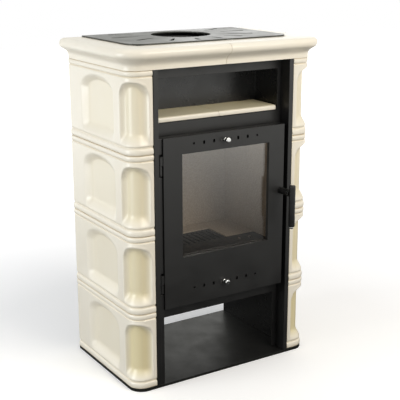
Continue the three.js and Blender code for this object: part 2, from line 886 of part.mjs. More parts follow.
const airRows = { upper: doorTop - upperAirDrop, lower: doorBottom + lowerAirRise };

function doorPanelGeometry() {
  const half = doorHalf;
  const past = 2; // the cuts pass through the faces
  const outer = box(-half, half, doorY, doorBackY, doorBottom, doorTop);
  const hollow = box(
    -half + sheet, half - sheet, doorY + sheet, doorBackY + past, doorBottom + sheet, doorTop - sheet,
  );
  const lipHalf = windowHalf + lipSheet;
  const lip = box(
    windowX - lipHalf, windowX + lipHalf, doorY + sheet / 2, doorY + sheet + windowLip,
    windowBottom - lipSheet, windowTop + lipSheet,
  );
  const studs = glassStuds(studRadius, doorY + 1, doorY + sheet + studLength);
  const pan = join(cut(outer, hollow), lip, ...studs);
  const front = doorY - past;
  const back = doorY + sheet + past;
  const cuts = [
    box(windowLeft, windowRight, front, doorBackY, windowBottom, windowTop),
    barY(spindleRadius + spindleClear, handleX, handleZ, front, back, 20),
  ];
  for (const z of Object.values(airRows)) {
    cuts.push(...airHoles(z, front, back, airHoleRadius));
    const slotHeight = airStemRadius + airStemClear;
    cuts.push(box(-airSlotHalf, airSlotHalf, front, back, z - slotHeight, z + slotHeight));
  }
  return cut(pan, ...cuts);
}

function doorInnerPlateGeometry() {
  const margin = sheet + seatGap;
  const half = doorHalf - margin;
  const y0 = doorBackY - sheet - seatGap;
  const slab = box(-half, half, y0, y0 + sheet, doorBottom + margin, doorTop - margin);
  const innerHalf = windowHalf + innerWindowMargin;
  const window = box(
    windowX - innerHalf, windowX + innerHalf, y0 - sheet, y0 + 2 * sheet,
    windowBottom - innerWindowMargin, windowTop + innerWindowMargin / 2,
  );
  // The notch for the spindle is open at the plate's edge.
  const reach = spindleRadius + spindleClear;
  const notch = box(
    handleX - reach, half + sheet, y0 - sheet, y0 + 2 * sheet, handleZ - reach, handleZ + reach,
  );
  return cut(slab, window, notch);
}

function doorSealGeometry() {
  const outerHalf = doorHalf - sealSideInset;
  const y0 = doorBackY;
  const y1 = panelY - seatGap;
  const z0 = doorBottom + sealEndInset;
  const z1 = doorTop - sealEndInset;
  const ring = box(-outerHalf, outerHalf, y0, y1, z0, z1);
  const innerHalf = outerHalf - sealWidth;
  return cut(ring, box(-innerHalf, innerHalf, y0 - 1, y1 + 1, z0 + sealWidth, z1 - sealWidth));
}

function windowRing(y, thickness, outerGrow, innerGrow) {
  const around = (grow, y0, y1) =>
    box(windowLeft - grow, windowRight + grow, y0, y1, windowBottom - grow, windowTop + grow);
  return cut(around(outerGrow, y, y + thickness), around(innerGrow, y - 1, y + thickness + 1));
}

function doorGlassGeometry() {
  const [x0, x1] = [windowX - glassHalf, windowX + glassHalf];
  return box(x0, x1, glassY, glassY + glassThickness, glassBottom, glassTop);
}

const retainerGrow = glassMargin - 6;
const studSpread = windowHalf + retainerGrow + retainerWidth - 2 * studRadius;
const studLength = retainerY + retainerThickness + studRadius - doorY - sheet;

// Four round bars at the studs that hold the glass retainer.
function glassStuds(radius, y0, y1) {
  return [windowX - studSpread, windowX + studSpread].flatMap((x) =>
    [windowBottom, windowTop].map((z) => barY(radius, x, z, y0, y1, 12)),
  );
}

function glassRetainerGeometry() {
  const ring = windowRing(retainerY, retainerThickness, retainerGrow + retainerWidth, retainerGrow);
  const [y0, y1] = [retainerY - 1, retainerY + retainerThickness + 1];
  return cut(ring, ...glassStuds(studRadius + seatGap, y0, y1));
}

// A slotted strip behind the door's front, with its stem through the slot.
function airSliderGeometry(z) {
  const y0 = doorY + sheet + seatGap;
  const half = airHoleStart + (airHoleCount - 1) * airHolePitch + sliderEnd;
  const strip = box(
    airKnobRest - half, airKnobRest + half, y0, y0 + thinSheet,
    z - sliderHeight / 2, z + sliderHeight / 2,
  );
  const holes = airHoles(z, y0 - 1, y0 + thinSheet + 1, airHoleRadius + 1);
  const stem = barY(airStemRadius, airKnobRest, z, doorY - knobStandoff + seatGap, y0 + 1, 14);
  return join(cut(strip, ...holes), stem);
}

function airKnobGeometry(z) {
  const y1 = doorY - knobStandoff;
  const r = knobRadius;
  const profile = [
    new THREE.Vector2(0, 0),
    new THREE.Vector2(r * 0.62, 0),
    new THREE.Vector2(r * 0.7, knobLength * 0.3),
    new THREE.Vector2(r * 0.95, knobLength * 0.45),
    new THREE.Vector2(r, knobLength * 0.6),
    new THREE.Vector2(r * 0.9, knobLength * 0.85),
    new THREE.Vector2(r * 0.6, knobLength),
    new THREE.Vector2(0, knobLength),
  ];
  return new THREE.LatheGeometry(profile, 20).rotateX(Math.PI).translate(airKnobRest, y1, z);
}

// ---------- Handle ----------

function handleHubGeometry() {
  const shape = new THREE.Shape();
  const steps = hubFlutes * 6;
  for (let i = 0; i < steps; i++) {
    const turn = (i / steps) * Math.PI * 2;
    const radius = hubRadius - hubFlute * 0.5 * (1 - Math.cos(turn * hubFlutes));
    const point = [radius * Math.cos(turn), radius * Math.sin(turn)];
    if (i === 0) shape.moveTo(...point);
    else shape.lineTo(...point);
  }
  shape.closePath();
  const body = new THREE.ExtrudeGeometry(shape, { depth: hubLength, bevelEnabled: false });
  body.rotateX(Math.PI / 2).translate(handleX, hubBackY, handleZ);
  const bore = barY(spindleRadius + seatGap, handleX, handleZ, hubFrontY - 1, hubBackY + 1, 20);
  return cut(body, bore);
}

function handleSpindleGeometry() {
  const end = camY + camThickness + 3;
  return barY(spindleRadius, handleX, handleZ, hubFrontY + seatGap, end, 20);
}

function handleGripGeometry() {
  const [z0, z1] = [handleZ - gripBottom, handleZ + gripTop];
  const r = gripRadius;
  const round = r * 0.3;
  const profile = [
    new THREE.Vector2(0, z0),
    new THREE.Vector2(r - round, z0),
    new THREE.Vector2(r, z0 + round),
    new THREE.Vector2(r, z1 - round),
    new THREE.Vector2(r - round, z1),
    new THREE.Vector2(0, z1),
  ];
  return new THREE.LatheGeometry(profile, 24).rotateX(Math.PI / 2);
}

function handleButtonGeometry() {
  const z1 = handleZ - gripBottom - seatGap;
  const z0 = z1 - buttonLength;
  const r = buttonRadius;
  const profile = [
    new THREE.Vector2(0, z0),
    new THREE.Vector2(r * 0.7, z0),
    new THREE.Vector2(r, z0 + r * 0.35),
    new THREE.Vector2(r, z1),
    new THREE.Vector2(0, z1),
  ];
  return new THREE.LatheGeometry(profile, 18).rotateX(Math.PI / 2);
}

// A tongue on the spindle's inner end that presses on the keeper's ramp.
function latchCamGeometry() {
  const shape = new THREE.Shape();
  const hubEdge = spindleRadius + 4;
  shape.absarc(0, 0, hubEdge, Math.PI / 2, Math.PI * 1.5, false);
  shape.lineTo(camLength, -hubEdge * 0.7);
  shape.lineTo(camLength, hubEdge * 0.7);
  shape.closePath();
  const hole = new THREE.Path();
  hole.absarc(0, 0, spindleRadius + seatGap, 0, Math.PI * 2, true);
  shape.holes.push(hole);
  const body = new THREE.ExtrudeGeometry(shape, {
    depth: camThickness, bevelEnabled: false, curveSegments: 10,
  });
  return body.rotateX(Math.PI / 2).translate(handleX, camY + camThickness, handleZ);
}

function latchKeeperGeometry() {
  const x1 = trimInnerX - seatGap;
  const x0 = x1 - keeperWidth;
  const front = camY + camThickness + 2 * seatGap;
  const shape = new THREE.Shape();
  const half = keeperHeight / 2;
  shape.moveTo(panelY - seatGap, handleZ - half);
  shape.lineTo(panelY - seatGap, handleZ + half);
  shape.lineTo(front, handleZ + half * 0.5);
  shape.lineTo(front, handleZ - half * 0.5);
  shape.closePath();
  const body = new THREE.ExtrudeGeometry(shape, { depth: keeperWidth, bevelEnabled: false });
  // The shape is drawn as (y, z) and runs along X.
  const turn = new THREE.Matrix4().set(0, 0, 1, 0, 1, 0, 0, 0, 0, 1, 0, 0, 0, 0, 0, 1);
  return body.applyMatrix4(turn).translate(x0, 0, 0);
}

// ---------- Hinges ----------

const hingeHeights = { upper: doorTop - hingeInset, lower: doorBottom + hingeInset };

function hingePostGeometry() {
  const x0 = -trimInnerX + postClear;
  const x1 = -doorHalf - postClear;
  const bar = box(x0, x1, postY, panelY - seatGap, standZ, doorTop);
  const reach = knuckleLength + knuckleGap / 2 + notchMargin;
  const notches = Object.values(hingeHeights).map((z) =>
    box(x0 - 1, x1 + 1, postY - 1, postY + notchDepth, z - reach, z + reach),
  );
  return cut(bar, ...notches);
}

function knuckle(z0, z1) {
  return barZ(knuckleRadius, hingeX, hingeY, z0, z1, 20);
}

function pinBore(z) {
  const reach = knuckleLength + knuckleGap;
  return barZ(pinRadius + pinClear, hingeX, hingeY, z - reach, z + reach, 20);
}

// The knuckle fixed to the post, with the pin that the door's own knuckle drops onto.
function hingeBracketGeometry(z) {
  const [z0, z1] = [z - knuckleGap / 2 - knuckleLength, z - knuckleGap / 2];
  const half = leafThickness / 2;
  const arm = box(hingeX - half, hingeX + half, hingeY, postY + notchDepth - seatGap, z0, z1);
  const pin = barZ(pinRadius, hingeX, hingeY, z1 - 1, z + knuckleGap / 2 + knuckleLength, 16);
  return join(knuckle(z0, z1), arm, pin);
}

// The knuckle fixed to the door's folded side.
function doorKnuckleGeometry(z) {
  const [z0, z1] = [z + knuckleGap / 2, z + knuckleGap / 2 + knuckleLength];
  const half = leafThickness / 2;
  const arm = box(hingeX, -doorHalf - seatGap, hingeY - half, hingeY + half, z0, z1);
  return cut(join(knuckle(z0, z1), arm), pinBore(z));
}

// ---------- Materials ----------

function finish(color, roughness, metalness, extra = {}) {
  return new THREE.MeshStandardMaterial({ color, roughness, metalness, ...extra });
}

const glaze = finish(0xece0c8, 0.22, 0);
const blackSteel = finish(0x2b2b2c, 0.45, 0.6);
const castIron = finish(0x242424, 0.7, 0.6);
const plainSteel = finish(0x5a5c5e, 0.5, 0.8);
const brightSteel = finish(0xc8c9cb, 0.2, 1);
const vermiculite = finish(0xb9ae9c, 0.95, 0);
const ropeSeal = finish(0x4a4a48, 0.95, 0);
const clearGlass = finish(0xd9e2e0, 0.05, 0, { transparent: true, opacity: 0.3 });

// ---------- The assembly ----------

const stove = new THREE.Group();

function add(group, name, geometry, material) {
  const mesh = new THREE.Mesh(geometry, material);
  mesh.name = name;
  group.add(mesh);
  return mesh;
}

function addPair(group, name, rightGeometry, material) {
  add(group, name + "_right", rightGeometry, material);
  add(group, name + "_left", mirrored(rightGeometry), material);
}

function addCasing() {
  const casing = new THREE.Group();
  add(casing, "base_plate", basePlateGeometry(), blackSteel);
  for (let i = 0; i < courseCount; i++) {
    const bottom = baseTop + seatGap + i * courseHeight;
    addPair(casing, "tile_" + (i + 1), tileGeometry(bottom), glaze);
  }
  addPair(casing, "cornice", corniceGeometry(), glaze);
  add(casing, "top_plate", topPlateGeometry(), blackSteel);
  addPair(casing, "trim", trimGeometry(), blackSteel);
  add(casing, "front_panel", frontPanelGeometry(), blackSteel);
  addPair(casing, "side_sheet", sideSheetGeometry(), blackSteel);
  add(casing, "rear_shield", rearShieldGeometry(), blackSteel);
  add(casing, "storage_ceiling", storageCeilingGeometry(), blackSteel);
  add(casing, "niche_box", nicheBoxGeometry(), blackSteel);
  addPair(casing, "shelf_tile", shelfGeometry(), glaze);
  add(casing, "hinge_post", hingePostGeometry(), blackSteel);
  stove.add(casing);
}

function addStoveBody() {
  const body = new THREE.Group();
  add(body, "body_bottom_plate", shellBottomGeometry(), plainSteel);
  addPair(body, "body_side_plate", shellSideGeometry(), plainSteel);
  add(body, "body_back_plate", shellBackGeometry(), plainSteel);
  add(body, "body_ceiling_plate", shellCeilingGeometry(), plainSteel);
  add(body, "smoke_box_front", smokeFrontGeometry(), plainSteel);
  add(body, "smoke_box_roof", shellRoofGeometry(), plainSteel);
  add(body, "flue_collar", flueCollarGeometry(), castIron);
  add(body, "back_lining", backLiningGeometry(), vermiculite);
  addPair(body, "side_lining", sideLiningGeometry(), vermiculite);
  add(body, "floor_lining", floorLiningGeometry(), vermiculite);
  add(body, "brick_carrier", brickCarrierGeometry(), plainSteel);
  add(body, "grate", grateGeometry(), castIron);
  add(body, "sill_plate", sillPlateGeometry(), castIron);
  add(body, "baffle", baffleGeometry(), vermiculite);
  add(body, "ash_pan", ashPanGeometry(), plainSteel);
  add(body, "latch_keeper", latchKeeperGeometry(), blackSteel);
  stove.add(body);
}

function addDoor() {
  const door = new THREE.Group();
  add(door, "door_panel", doorPanelGeometry(), blackSteel);
  add(door, "door_inner_plate", doorInnerPlateGeometry(), blackSteel);
  add(door, "door_seal", doorSealGeometry(), ropeSeal);
  add(door, "glass_gasket", windowRing(gasketY, gasketThickness, gasketWidth, 0), ropeSeal);
  add(door, "door_glass", doorGlassGeometry(), clearGlass);
  add(door, "glass_retainer", glassRetainerGeometry(), blackSteel);
  for (const [row, z] of Object.entries(airRows)) {
    add(door, row + "_air_slider", airSliderGeometry(z), plainSteel);
    add(door, row + "_air_knob", airKnobGeometry(z), brightSteel);
  }
  for (const [place, z] of Object.entries(hingeHeights)) {
    add(door, place + "_door_knuckle", doorKnuckleGeometry(z), blackSteel);
    add(door, place + "_hinge_bracket", hingeBracketGeometry(z), blackSteel);
  }
  stove.add(door);
}

function addHandle() {
  const handle = new THREE.Group();
  add(handle, "handle_hub", handleHubGeometry(), castIron);
  add(handle, "handle_spindle", handleSpindleGeometry(), plainSteel);
  const grip = add(handle, "handle_grip", handleGripGeometry(), castIron);
  grip.position.set(handleX, gripY, 0);
  const button = add(handle, "handle_button", handleButtonGeometry(), brightSteel);
  button.position.set(handleX, gripY, 0);
  add(handle, "latch_cam", latchCamGeometry(), plainSteel);
  stove.add(handle);
}

addCasing();
addStoveBody();
addDoor();
addHandle();

export default stove;
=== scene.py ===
"""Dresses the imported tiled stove: glazed tiles, black steel, glass, fire boards and small parts."""

import json
import math
import random

import bmesh
import bpy
from mathutils import Matrix, Vector


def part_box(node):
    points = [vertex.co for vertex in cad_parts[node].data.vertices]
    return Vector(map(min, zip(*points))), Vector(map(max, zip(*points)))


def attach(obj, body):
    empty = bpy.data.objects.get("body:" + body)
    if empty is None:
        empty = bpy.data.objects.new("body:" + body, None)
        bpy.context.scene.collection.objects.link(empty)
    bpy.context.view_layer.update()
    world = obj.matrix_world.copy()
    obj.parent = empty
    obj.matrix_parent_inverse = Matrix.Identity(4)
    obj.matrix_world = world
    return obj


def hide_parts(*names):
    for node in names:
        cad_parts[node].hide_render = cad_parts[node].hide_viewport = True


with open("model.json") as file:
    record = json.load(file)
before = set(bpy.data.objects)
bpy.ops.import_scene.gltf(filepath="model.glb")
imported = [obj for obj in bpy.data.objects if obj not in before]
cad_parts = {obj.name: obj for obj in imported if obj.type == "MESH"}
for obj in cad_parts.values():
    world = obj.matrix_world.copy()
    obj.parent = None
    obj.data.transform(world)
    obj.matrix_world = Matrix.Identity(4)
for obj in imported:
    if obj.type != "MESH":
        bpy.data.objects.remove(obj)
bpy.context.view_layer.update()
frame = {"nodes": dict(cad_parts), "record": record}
nodes = frame["nodes"]
MM = 0.001
TINY = 1e-7
TOUCHING = 1e-6
rng = random.Random(7)


# ---------- Camera, as in the photograph ----------

LENS_MM, SENSOR_MM = 82.63, 36
CAMERA_PLACE = (-1.49489, -2.41605, 1.30069)
YAW, PITCH, ROLL = 0.563485, -0.270666, -0.0018884


def make_camera():
    data = bpy.data.cameras.new("camera")
    data.lens = LENS_MM
    data.sensor_width = SENSOR_MM
    camera = bpy.data.objects.new("camera", data)
    bpy.context.scene.collection.objects.link(camera)
    turn = (
        Matrix.Rotation(-YAW, 4, "Z")
        @ Matrix.Rotation(math.pi / 2 + PITCH, 4, "X")
        @ Matrix.Rotation(ROLL, 4, "Z")
    )
    camera.matrix_world = Matrix.Translation(CAMERA_PLACE) @ turn
    bpy.context.scene.camera = camera


make_camera()


# ---------- Material helpers ----------

# The mix node's inputs and output for colors, by their place in the node.
MIX_SHARE, MIX_FIRST, MIX_SECOND, MIX_RESULT = 0, 6, 7, 2
# The middle part of a noise's values, which is spread over the whole range.
NOISE_LOW, NOISE_HIGH = 0.3, 0.7


class Paint:
    """One material, with short ways to add nodes to it."""

    def __init__(self, name):
        self.material = bpy.data.materials.new(name)
        self.material.use_nodes = True
        self.tree = self.material.node_tree
        self.shader = self.tree.nodes["Principled BSDF"]
        self.place = self.tree.nodes.new("ShaderNodeTexCoord").outputs["Object"]

    def link(self, source, target):
        self.tree.links.new(source, target)

    def set(self, **values):
        for key, value in values.items():
            self.shader.inputs[key.replace("_", " ")].default_value = value
        return self

    def scaled(self, x, y, z):
        node = self.tree.nodes.new("ShaderNodeMapping")
        node.inputs["Scale"].default_value = (x, y, z)
        self.link(self.place, node.inputs["Vector"])
        return node.outputs["Vector"]

    def noise(self, scale, detail, rough=0.55, at=None, distortion=0.0):
        node = self.tree.nodes.new("ShaderNodeTexNoise")
        node.inputs["Scale"].default_value = scale
        node.inputs["Detail"].default_value = detail
        node.inputs["Roughness"].default_value = rough
        node.inputs["Distortion"].default_value = distortion
        self.link(at or self.place, node.inputs["Vector"])
        return node.outputs["Fac"]

    def cells(self, scale):
        node = self.tree.nodes.new("ShaderNodeTexVoronoi")
        node.inputs["Scale"].default_value = scale
        self.link(self.place, node.inputs["Vector"])
        return node.outputs["Distance"]

    def spread(self, source, low, high, to_low=0.0, to_high=1.0):
        """Maps the values from low to high onto those from to_low to to_high."""
        node = self.tree.nodes.new("ShaderNodeMapRange")
        limits = {"From Min": low, "From Max": high, "To Min": to_low, "To Max": to_high}
        for key, value in limits.items():
            node.inputs[key].default_value = value
        self.link(source, node.inputs["Value"])
        return node.outputs["Result"]

    def uneven(self, scale, detail, low=0.0, high=1.0):
        """Noise that fills the range from low to high."""
        return self.spread(self.noise(scale, detail), NOISE_LOW, NOISE_HIGH, low, high)

    def ramp(self, source, *stops):
        node = self.tree.nodes.new("ShaderNodeValToRGB")
        points = node.color_ramp.elements
        while len(points) < len(stops):
            points.new(0.5)
        for point, (where, color) in zip(points, stops):
            point.position = where
            point.color = (*color, 1)
        self.link(source, node.inputs["Fac"])
        return node.outputs["Color"]

    def mix(self, share, first, second):
        """The first color where share is 0 and the second where it is 1."""
        node = self.tree.nodes.new("ShaderNodeMix")
        node.data_type = "RGBA"
        self.link(share, node.inputs[MIX_SHARE])
        for source, slot in ((first, MIX_FIRST), (second, MIX_SECOND)):
            if isinstance(source, tuple):
                node.inputs[slot].default_value = (*source, 1)
            else:
                self.link(source, node.inputs[slot])
        return node.outputs[MIX_RESULT]

    def math(self, kind, first, second):
        node = self.tree.nodes.new("ShaderNodeMath")
        node.operation = kind
        for i, value in enumerate((first, second)):
            if isinstance(value, (int, float)):
                node.inputs[i].default_value = value
            else:
                self.link(value, node.inputs[i])
        return node.outputs[0]

    def color(self, source):
        self.link(source, self.shader.inputs["Base Color"])

    def roughness(self, source):
        self.link(source, self.shader.inputs["Roughness"])

    def bump(self, source, strength, depth):
        node = self.tree.nodes.new("ShaderNodeBump")
        node.inputs["Strength"].default_value = strength
        node.inputs["Distance"].default_value = depth
        last = self.shader.inputs["Normal"]
        if last.links:
            self.link(last.links[0].from_socket, node.inputs["Normal"])
        self.link(source, node.inputs["Height"])
        self.link(node.outputs["Normal"], last)

    def mixed_shader(self, share, first, second):
        """The first shader where share is 0 and the second where it is 1."""
        node = self.tree.nodes.new("ShaderNodeMixShader")
        for source, slot in zip((share, first, second), node.inputs):
            self.link(source, slot)
        return node.outputs[0]

    def show(self, shader):
        self.link(shader, self.tree.nodes["Material Output"].inputs["Surface"])


# ---------- Materials ----------

# Each point of a tile or shelf carries a number that tints the glaze warmer and darker: glaze that
# pools in the relief, and painted shade.
POOL_AND_SHADE = "pooled_glaze_and_shade"  # a number on each point of a tile: how deep in the relief it lies
MOST_POOL_AND_SHADE, MOST_POOL_AND_SHADE_SHARE = 1.5, 0.9
CREAM, PALE_CREAM = (0.83, 0.78, 0.665), (0.845, 0.80, 0.695)
# Colours: the glaze's own specks; glaze that pools deep in the relief, together with painted shade
# there; painted shade in hollows.
SPECKS, POOLED_AND_SHADED, HOLLOW_SHADE = (0.62, 0.48, 0.30), (0.715, 0.63, 0.37), (0.62, 0.49, 0.29)
HOLLOW_REACH = 0.026


def glaze_material():
    """Cream glaze: warmer and darker deep in the relief, partly glaze that pools there and partly
    painted shade, with painted shade in hollows, faint specks and gentle waves.
    """
    paint = Paint("cream_glaze").set(IOR=1.5, Coat_Weight=0.25, Coat_Roughness=0.24)
    cloud = paint.spread(paint.noise(7, 2), 0.35, 0.65)
    base = paint.mix(cloud, CREAM, PALE_CREAM)
    speck = paint.spread(paint.noise(420, 2), 0.70, 0.78)
    base = paint.mix(paint.math("MULTIPLY", speck, 0.04), base, SPECKS)
    # Tint read from each point's number: partly glaze that pools, partly painted shade.
    depth = paint.tree.nodes.new("ShaderNodeAttribute")
    depth.attribute_name = POOL_AND_SHADE
    pooled_and_shaded = paint.spread(depth.outputs["Fac"], 0.0, MOST_POOL_AND_SHADE, 0.0, MOST_POOL_AND_SHADE_SHARE)
    base = paint.mix(pooled_and_shaded, base, POOLED_AND_SHADED)
    # Painted shade in hollows: ambient occlusion darkens the colour where the face is hemmed in.
    cavity = paint.tree.nodes.new("ShaderNodeAmbientOcclusion")
    cavity.inputs["Distance"].default_value = HOLLOW_REACH
    cavity.samples = 6
    hollow_shade = paint.spread(cavity.outputs["AO"], 0.40, 0.92, 0.60, 0.0)
    paint.color(paint.mix(hollow_shade, base, HOLLOW_SHADE))
    paint.roughness(paint.uneven(26, 3, 0.33, 0.42))
    paint.bump(paint.noise(14, 0), 0.05, 0.003)
    return paint.material


def black_steel_material(name, tint=(0.0070,) * 3, sheen=0.42, gleam=(1.0, 1.0, 1.0)):
    """Heat-proof black paint on sheet steel: satin, finely textured, faintly uneven."""
    paint = Paint(name).set(IOR=1.5, Specular_Tint=(*gleam, 1))
    lighter, dusty = (tuple(c * times for c in tint) for times in (1.35, 3.0))
    base = paint.mix(paint.uneven(5.5, 4), tint, lighter)
    dust = paint.spread(paint.noise(900, 2), 0.62, 0.80)
    paint.color(paint.mix(paint.math("MULTIPLY", dust, 0.22), base, dusty))
    paint.roughness(paint.uneven(14, 5, sheen - 0.05, sheen + 0.08))
    paint.bump(paint.noise(1500, 2), 0.16, 0.00025)
    paint.bump(paint.noise(60, 2), 0.04, 0.0012)
    return paint.material


def cast_iron_material():
    """Black cast iron with the grain of the sand mould."""
    paint = Paint("cast_iron").set(Metallic=0.35)
    paint.color(paint.mix(paint.uneven(22, 5), (0.017, 0.017, 0.0175), (0.035, 0.033, 0.031)))
    paint.roughness(paint.uneven(40, 4, 0.52, 0.68))
    paint.bump(paint.noise(600, 3, 0.6), 0.35, 0.0005)
    return paint.material


def handle_material():
    """Black enamel on the handle, with fine casting ripples under a thin gloss."""
    paint = Paint("handle_black").set(IOR=1.5, Specular_IOR_Level=0.25)
    paint.set(Coat_Weight=0.25, Coat_Roughness=0.08)
    paint.color(paint.mix(paint.uneven(60, 4), (0.005, 0.005, 0.005), (0.010, 0.0098, 0.0095)))
    paint.roughness(paint.uneven(90, 3, 0.26, 0.36))
    paint.bump(paint.noise(380, 3), 0.12, 0.0003)
    return paint.material


def plain_steel_material():
    """Mill-finish steel inside the body, darkened by heat."""
    paint = Paint("plain_steel").set(Metallic=0.8)
    blotch = paint.spread(paint.noise(12, 5, 0.6, distortion=0.6), 0.35, 0.65)
    dark, middle, warm = (0.075, 0.072, 0.07), (0.13, 0.125, 0.12), (0.17, 0.15, 0.13)
    paint.color(paint.ramp(blotch, (0.0, dark), (0.6, middle), (1.0, warm)))
    paint.roughness(paint.uneven(30, 4, 0.42, 0.60))
    paint.bump(paint.noise(700, 2, at=paint.scaled(1, 1, 0.06)), 0.10, 0.0003)
    return paint.material


def bright_metal_material():
    """Turned and polished steel: faint rings from the lathe."""
    paint = Paint("bright_steel").set(Metallic=1.0)
    paint.color(paint.mix(paint.uneven(300, 2), (0.62, 0.62, 0.61), (0.52, 0.52, 0.515)))
    paint.roughness(paint.uneven(500, 3, 0.13, 0.22))
    paint.bump(paint.noise(2600, 2, at=paint.scaled(0.3, 3, 0.3)), 0.10, 0.0001)
    return paint.material


def fire_board_material():
    """Pressed vermiculite: pale flakes and small pits, a little sooty here and there."""
    paint = Paint("fire_board").set(IOR=1.4)
    flakes = paint.spread(paint.cells(230), 0.0, 0.6)
    pale, middle, dark = (0.58, 0.49, 0.37), (0.50, 0.42, 0.325), (0.40, 0.335, 0.26)
    base = paint.ramp(flakes, (0.0, pale), (0.45, middle), (1.0, dark))
    glitter = paint.spread(paint.noise(700, 2), 0.66, 0.72)
    base = paint.mix(paint.math("MULTIPLY", glitter, 0.5), base, (0.72, 0.60, 0.42))
    soot = paint.spread(paint.noise(6, 4), 0.35, 0.75, 0.0, 0.22)
    paint.color(paint.mix(soot, base, (0.33, 0.29, 0.25)))
    paint.roughness(paint.uneven(200, 2, 0.84, 0.97))
    paint.bump(paint.cells(230), 0.35, 0.0012)
    paint.bump(paint.noise(900, 3), 0.25, 0.0004)
    return paint.material


def rope_material():
    """Braided glass-fibre rope, dark grey."""
    paint = Paint("rope_seal")
    strands = paint.cells(520)
    pale, middle, dark = (0.17, 0.165, 0.155), (0.085, 0.082, 0.078), (0.03, 0.03, 0.03)
    shade = paint.spread(strands, 0.0, 0.7)
    paint.color(paint.ramp(shade, (0.0, pale), (0.6, middle), (1.0, dark)))
    paint.roughness(paint.uneven(300, 2, 0.86, 0.97))
    paint.bump(strands, 0.5, 0.0012)
    return paint.material


def glass_material():
    """Clear fire glass: lets light through and mirrors a little, more at a flat angle."""
    paint = Paint("fire_glass")
    tree = paint.tree
    tree.nodes.remove(paint.shader)
    clear = tree.nodes.new("ShaderNodeBsdfTransparent")
    clear.inputs["Color"].default_value = (0.91, 0.905, 0.90, 1)
    gloss = tree.nodes.new("ShaderNodeBsdfGlossy")
    gloss.inputs["Roughness"].default_value = 0.03
    gloss.inputs["Color"].default_value = (0.95, 0.95, 0.95, 1)
    slope = tree.nodes.new("ShaderNodeLayerWeight")
    slope.inputs["Blend"].default_value = 0.5
    straight_on, aslant = 0.07, 0.9
    steep = paint.math("POWER", slope.outputs["Facing"], 4.0)
    share = paint.spread(steep, 0.0, 1.0, straight_on, aslant)
    paint.show(paint.mixed_shader(share, clear.outputs[0], gloss.outputs[0]))
    return paint.material


GLAZE = glaze_material()
BLACK = black_steel_material("black_steel")
BLACK_SMOOTH = black_steel_material("black_steel_smooth", sheen=0.27)
# The top plate's paint is a lighter, greener copy of the black steel: painted sheen that stands in
# for the bright reflection it shows at a flat angle.
BLACK_TOP_PAINTED_SHEEN = black_steel_material(
    "black_steel_top_painted_sheen", (0.030, 0.031, 0.027), sheen=0.33, gleam=(0.99, 1.0, 0.93)
)
BLACK_BASE = black_steel_material("black_steel_base", sheen=0.46, gleam=(0.62, 0.63, 0.55))
IRON = cast_iron_material()
HANDLE = handle_material()
STEEL = plain_steel_material()
BRIGHT = bright_metal_material()
BOARD = fire_board_material()
ROPE = rope_material()
GLASS = glass_material()
BY_SLOT = {
    "glaze": GLAZE, "black_steel": BLACK, "cast_iron": IRON, "plain_steel": STEEL,
    "chrome": BRIGHT, "fire_board": BOARD, "rope_seal": ROPE, "fire_glass": GLASS,
}


# ---------- Shape helpers ----------


def new_piece(name, bm, material, body, smooth_angle):
    """Turns a bmesh in metres into a named piece that rides on a body."""
    mesh = bpy.data.meshes.new(name)
    bmesh.ops.recalc_face_normals(bm, faces=bm.faces)
    bm.to_mesh(mesh)
    bm.free()
    piece = bpy.data.objects.new(name, mesh)
    bpy.context.scene.collection.objects.link(piece)
    mesh.materials.append(material)
    for polygon in mesh.polygons:
        polygon.use_smooth = True
    mesh.set_sharp_from_angle(angle=math.radians(smooth_angle))
    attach(piece, body)
    return piece


def soften_node(name, width):
    """Rounds the edges of a CAD node that stays, without changing its mesh."""
    node = nodes[name]
    weld = node.modifiers.new("weld", "WELD")
    weld.merge_threshold = TOUCHING
    bevel = node.modifiers.new("bevel", "BEVEL")
    bevel.width = width
    bevel.segments = 2
    bevel.limit_method = "ANGLE"
    bevel.angle_limit = math.radians(30)
    bevel.harden_normals = True


def circle(radius, height, steps):
    """Points round the Z axis at a height."""
    turns = [2 * math.pi * i / steps for i in range(steps)]
    return [(radius * math.cos(turn), radius * math.sin(turn), height) for turn in turns]


def wall(bm, rings):
    """Faces between each two rings of points that follow each other."""
    for low, high in zip(rings, rings[1:]):
        for i in range(len(low)):
            j = (i + 1) % len(low)
            bm.faces.new((low[i], low[j], high[j], high[i]))


def swept(bm, sections):
    """Faces along the sections of a solid, and one over each of its ends."""
    for here, ahead in zip(sections, sections[1:]):
        for i in range(len(here)):
            j = (i + 1) % len(here)
            bm.faces.new((here[i], ahead[i], ahead[j], here[j]))
    bm.faces.new(sections[0])
    bm.faces.new(list(reversed(sections[-1])))
    bmesh.ops.remove_doubles(bm, verts=bm.verts, dist=TOUCHING)


def lathe(profile, steps):
    """A bmesh turned about Z from (radius, height) points, closed where the radius is 0."""
    bm = bmesh.new()
    rings = []
    for radius, height in profile:
        points = [(0, 0, height)] if radius < TINY else circle(radius, height, steps)
        rings.append([bm.verts.new(point) for point in points])
    for low, high in zip(rings, rings[1:]):
        for i in range(steps):
            j = (i + 1) % steps
            if len(low) == 1:
                bm.faces.new((low[0], high[i], high[j]))
            elif len(high) == 1:
                bm.faces.new((low[i], low[j], high[0]))
            else:
                bm.faces.new((low[i], low[j], high[j], high[i]))
    return bm


def rounded(points, radius, steps=4):
    """A profile of (r, z) points with its inner corners rounded."""
    longest = 0.45  # of the side before or after a corner
    out = [points[0]]
    for before, here, after in zip(points, points[1:], points[2:]):
        a, b, c = Vector(before), Vector(here), Vector(after)
        reach = min(radius, (a - b).length * longest, (c - b).length * longest)
        p, q = b + (a - b).normalized() * reach, b + (c - b).normalized() * reach
        for i in range(steps + 1):
            t = i / steps
            point = p * (1 - t) ** 2 + b * 2 * t * (1 - t) + q * t**2
            out.append((point.x, point.y))
    out.append(points[-1])
    return out


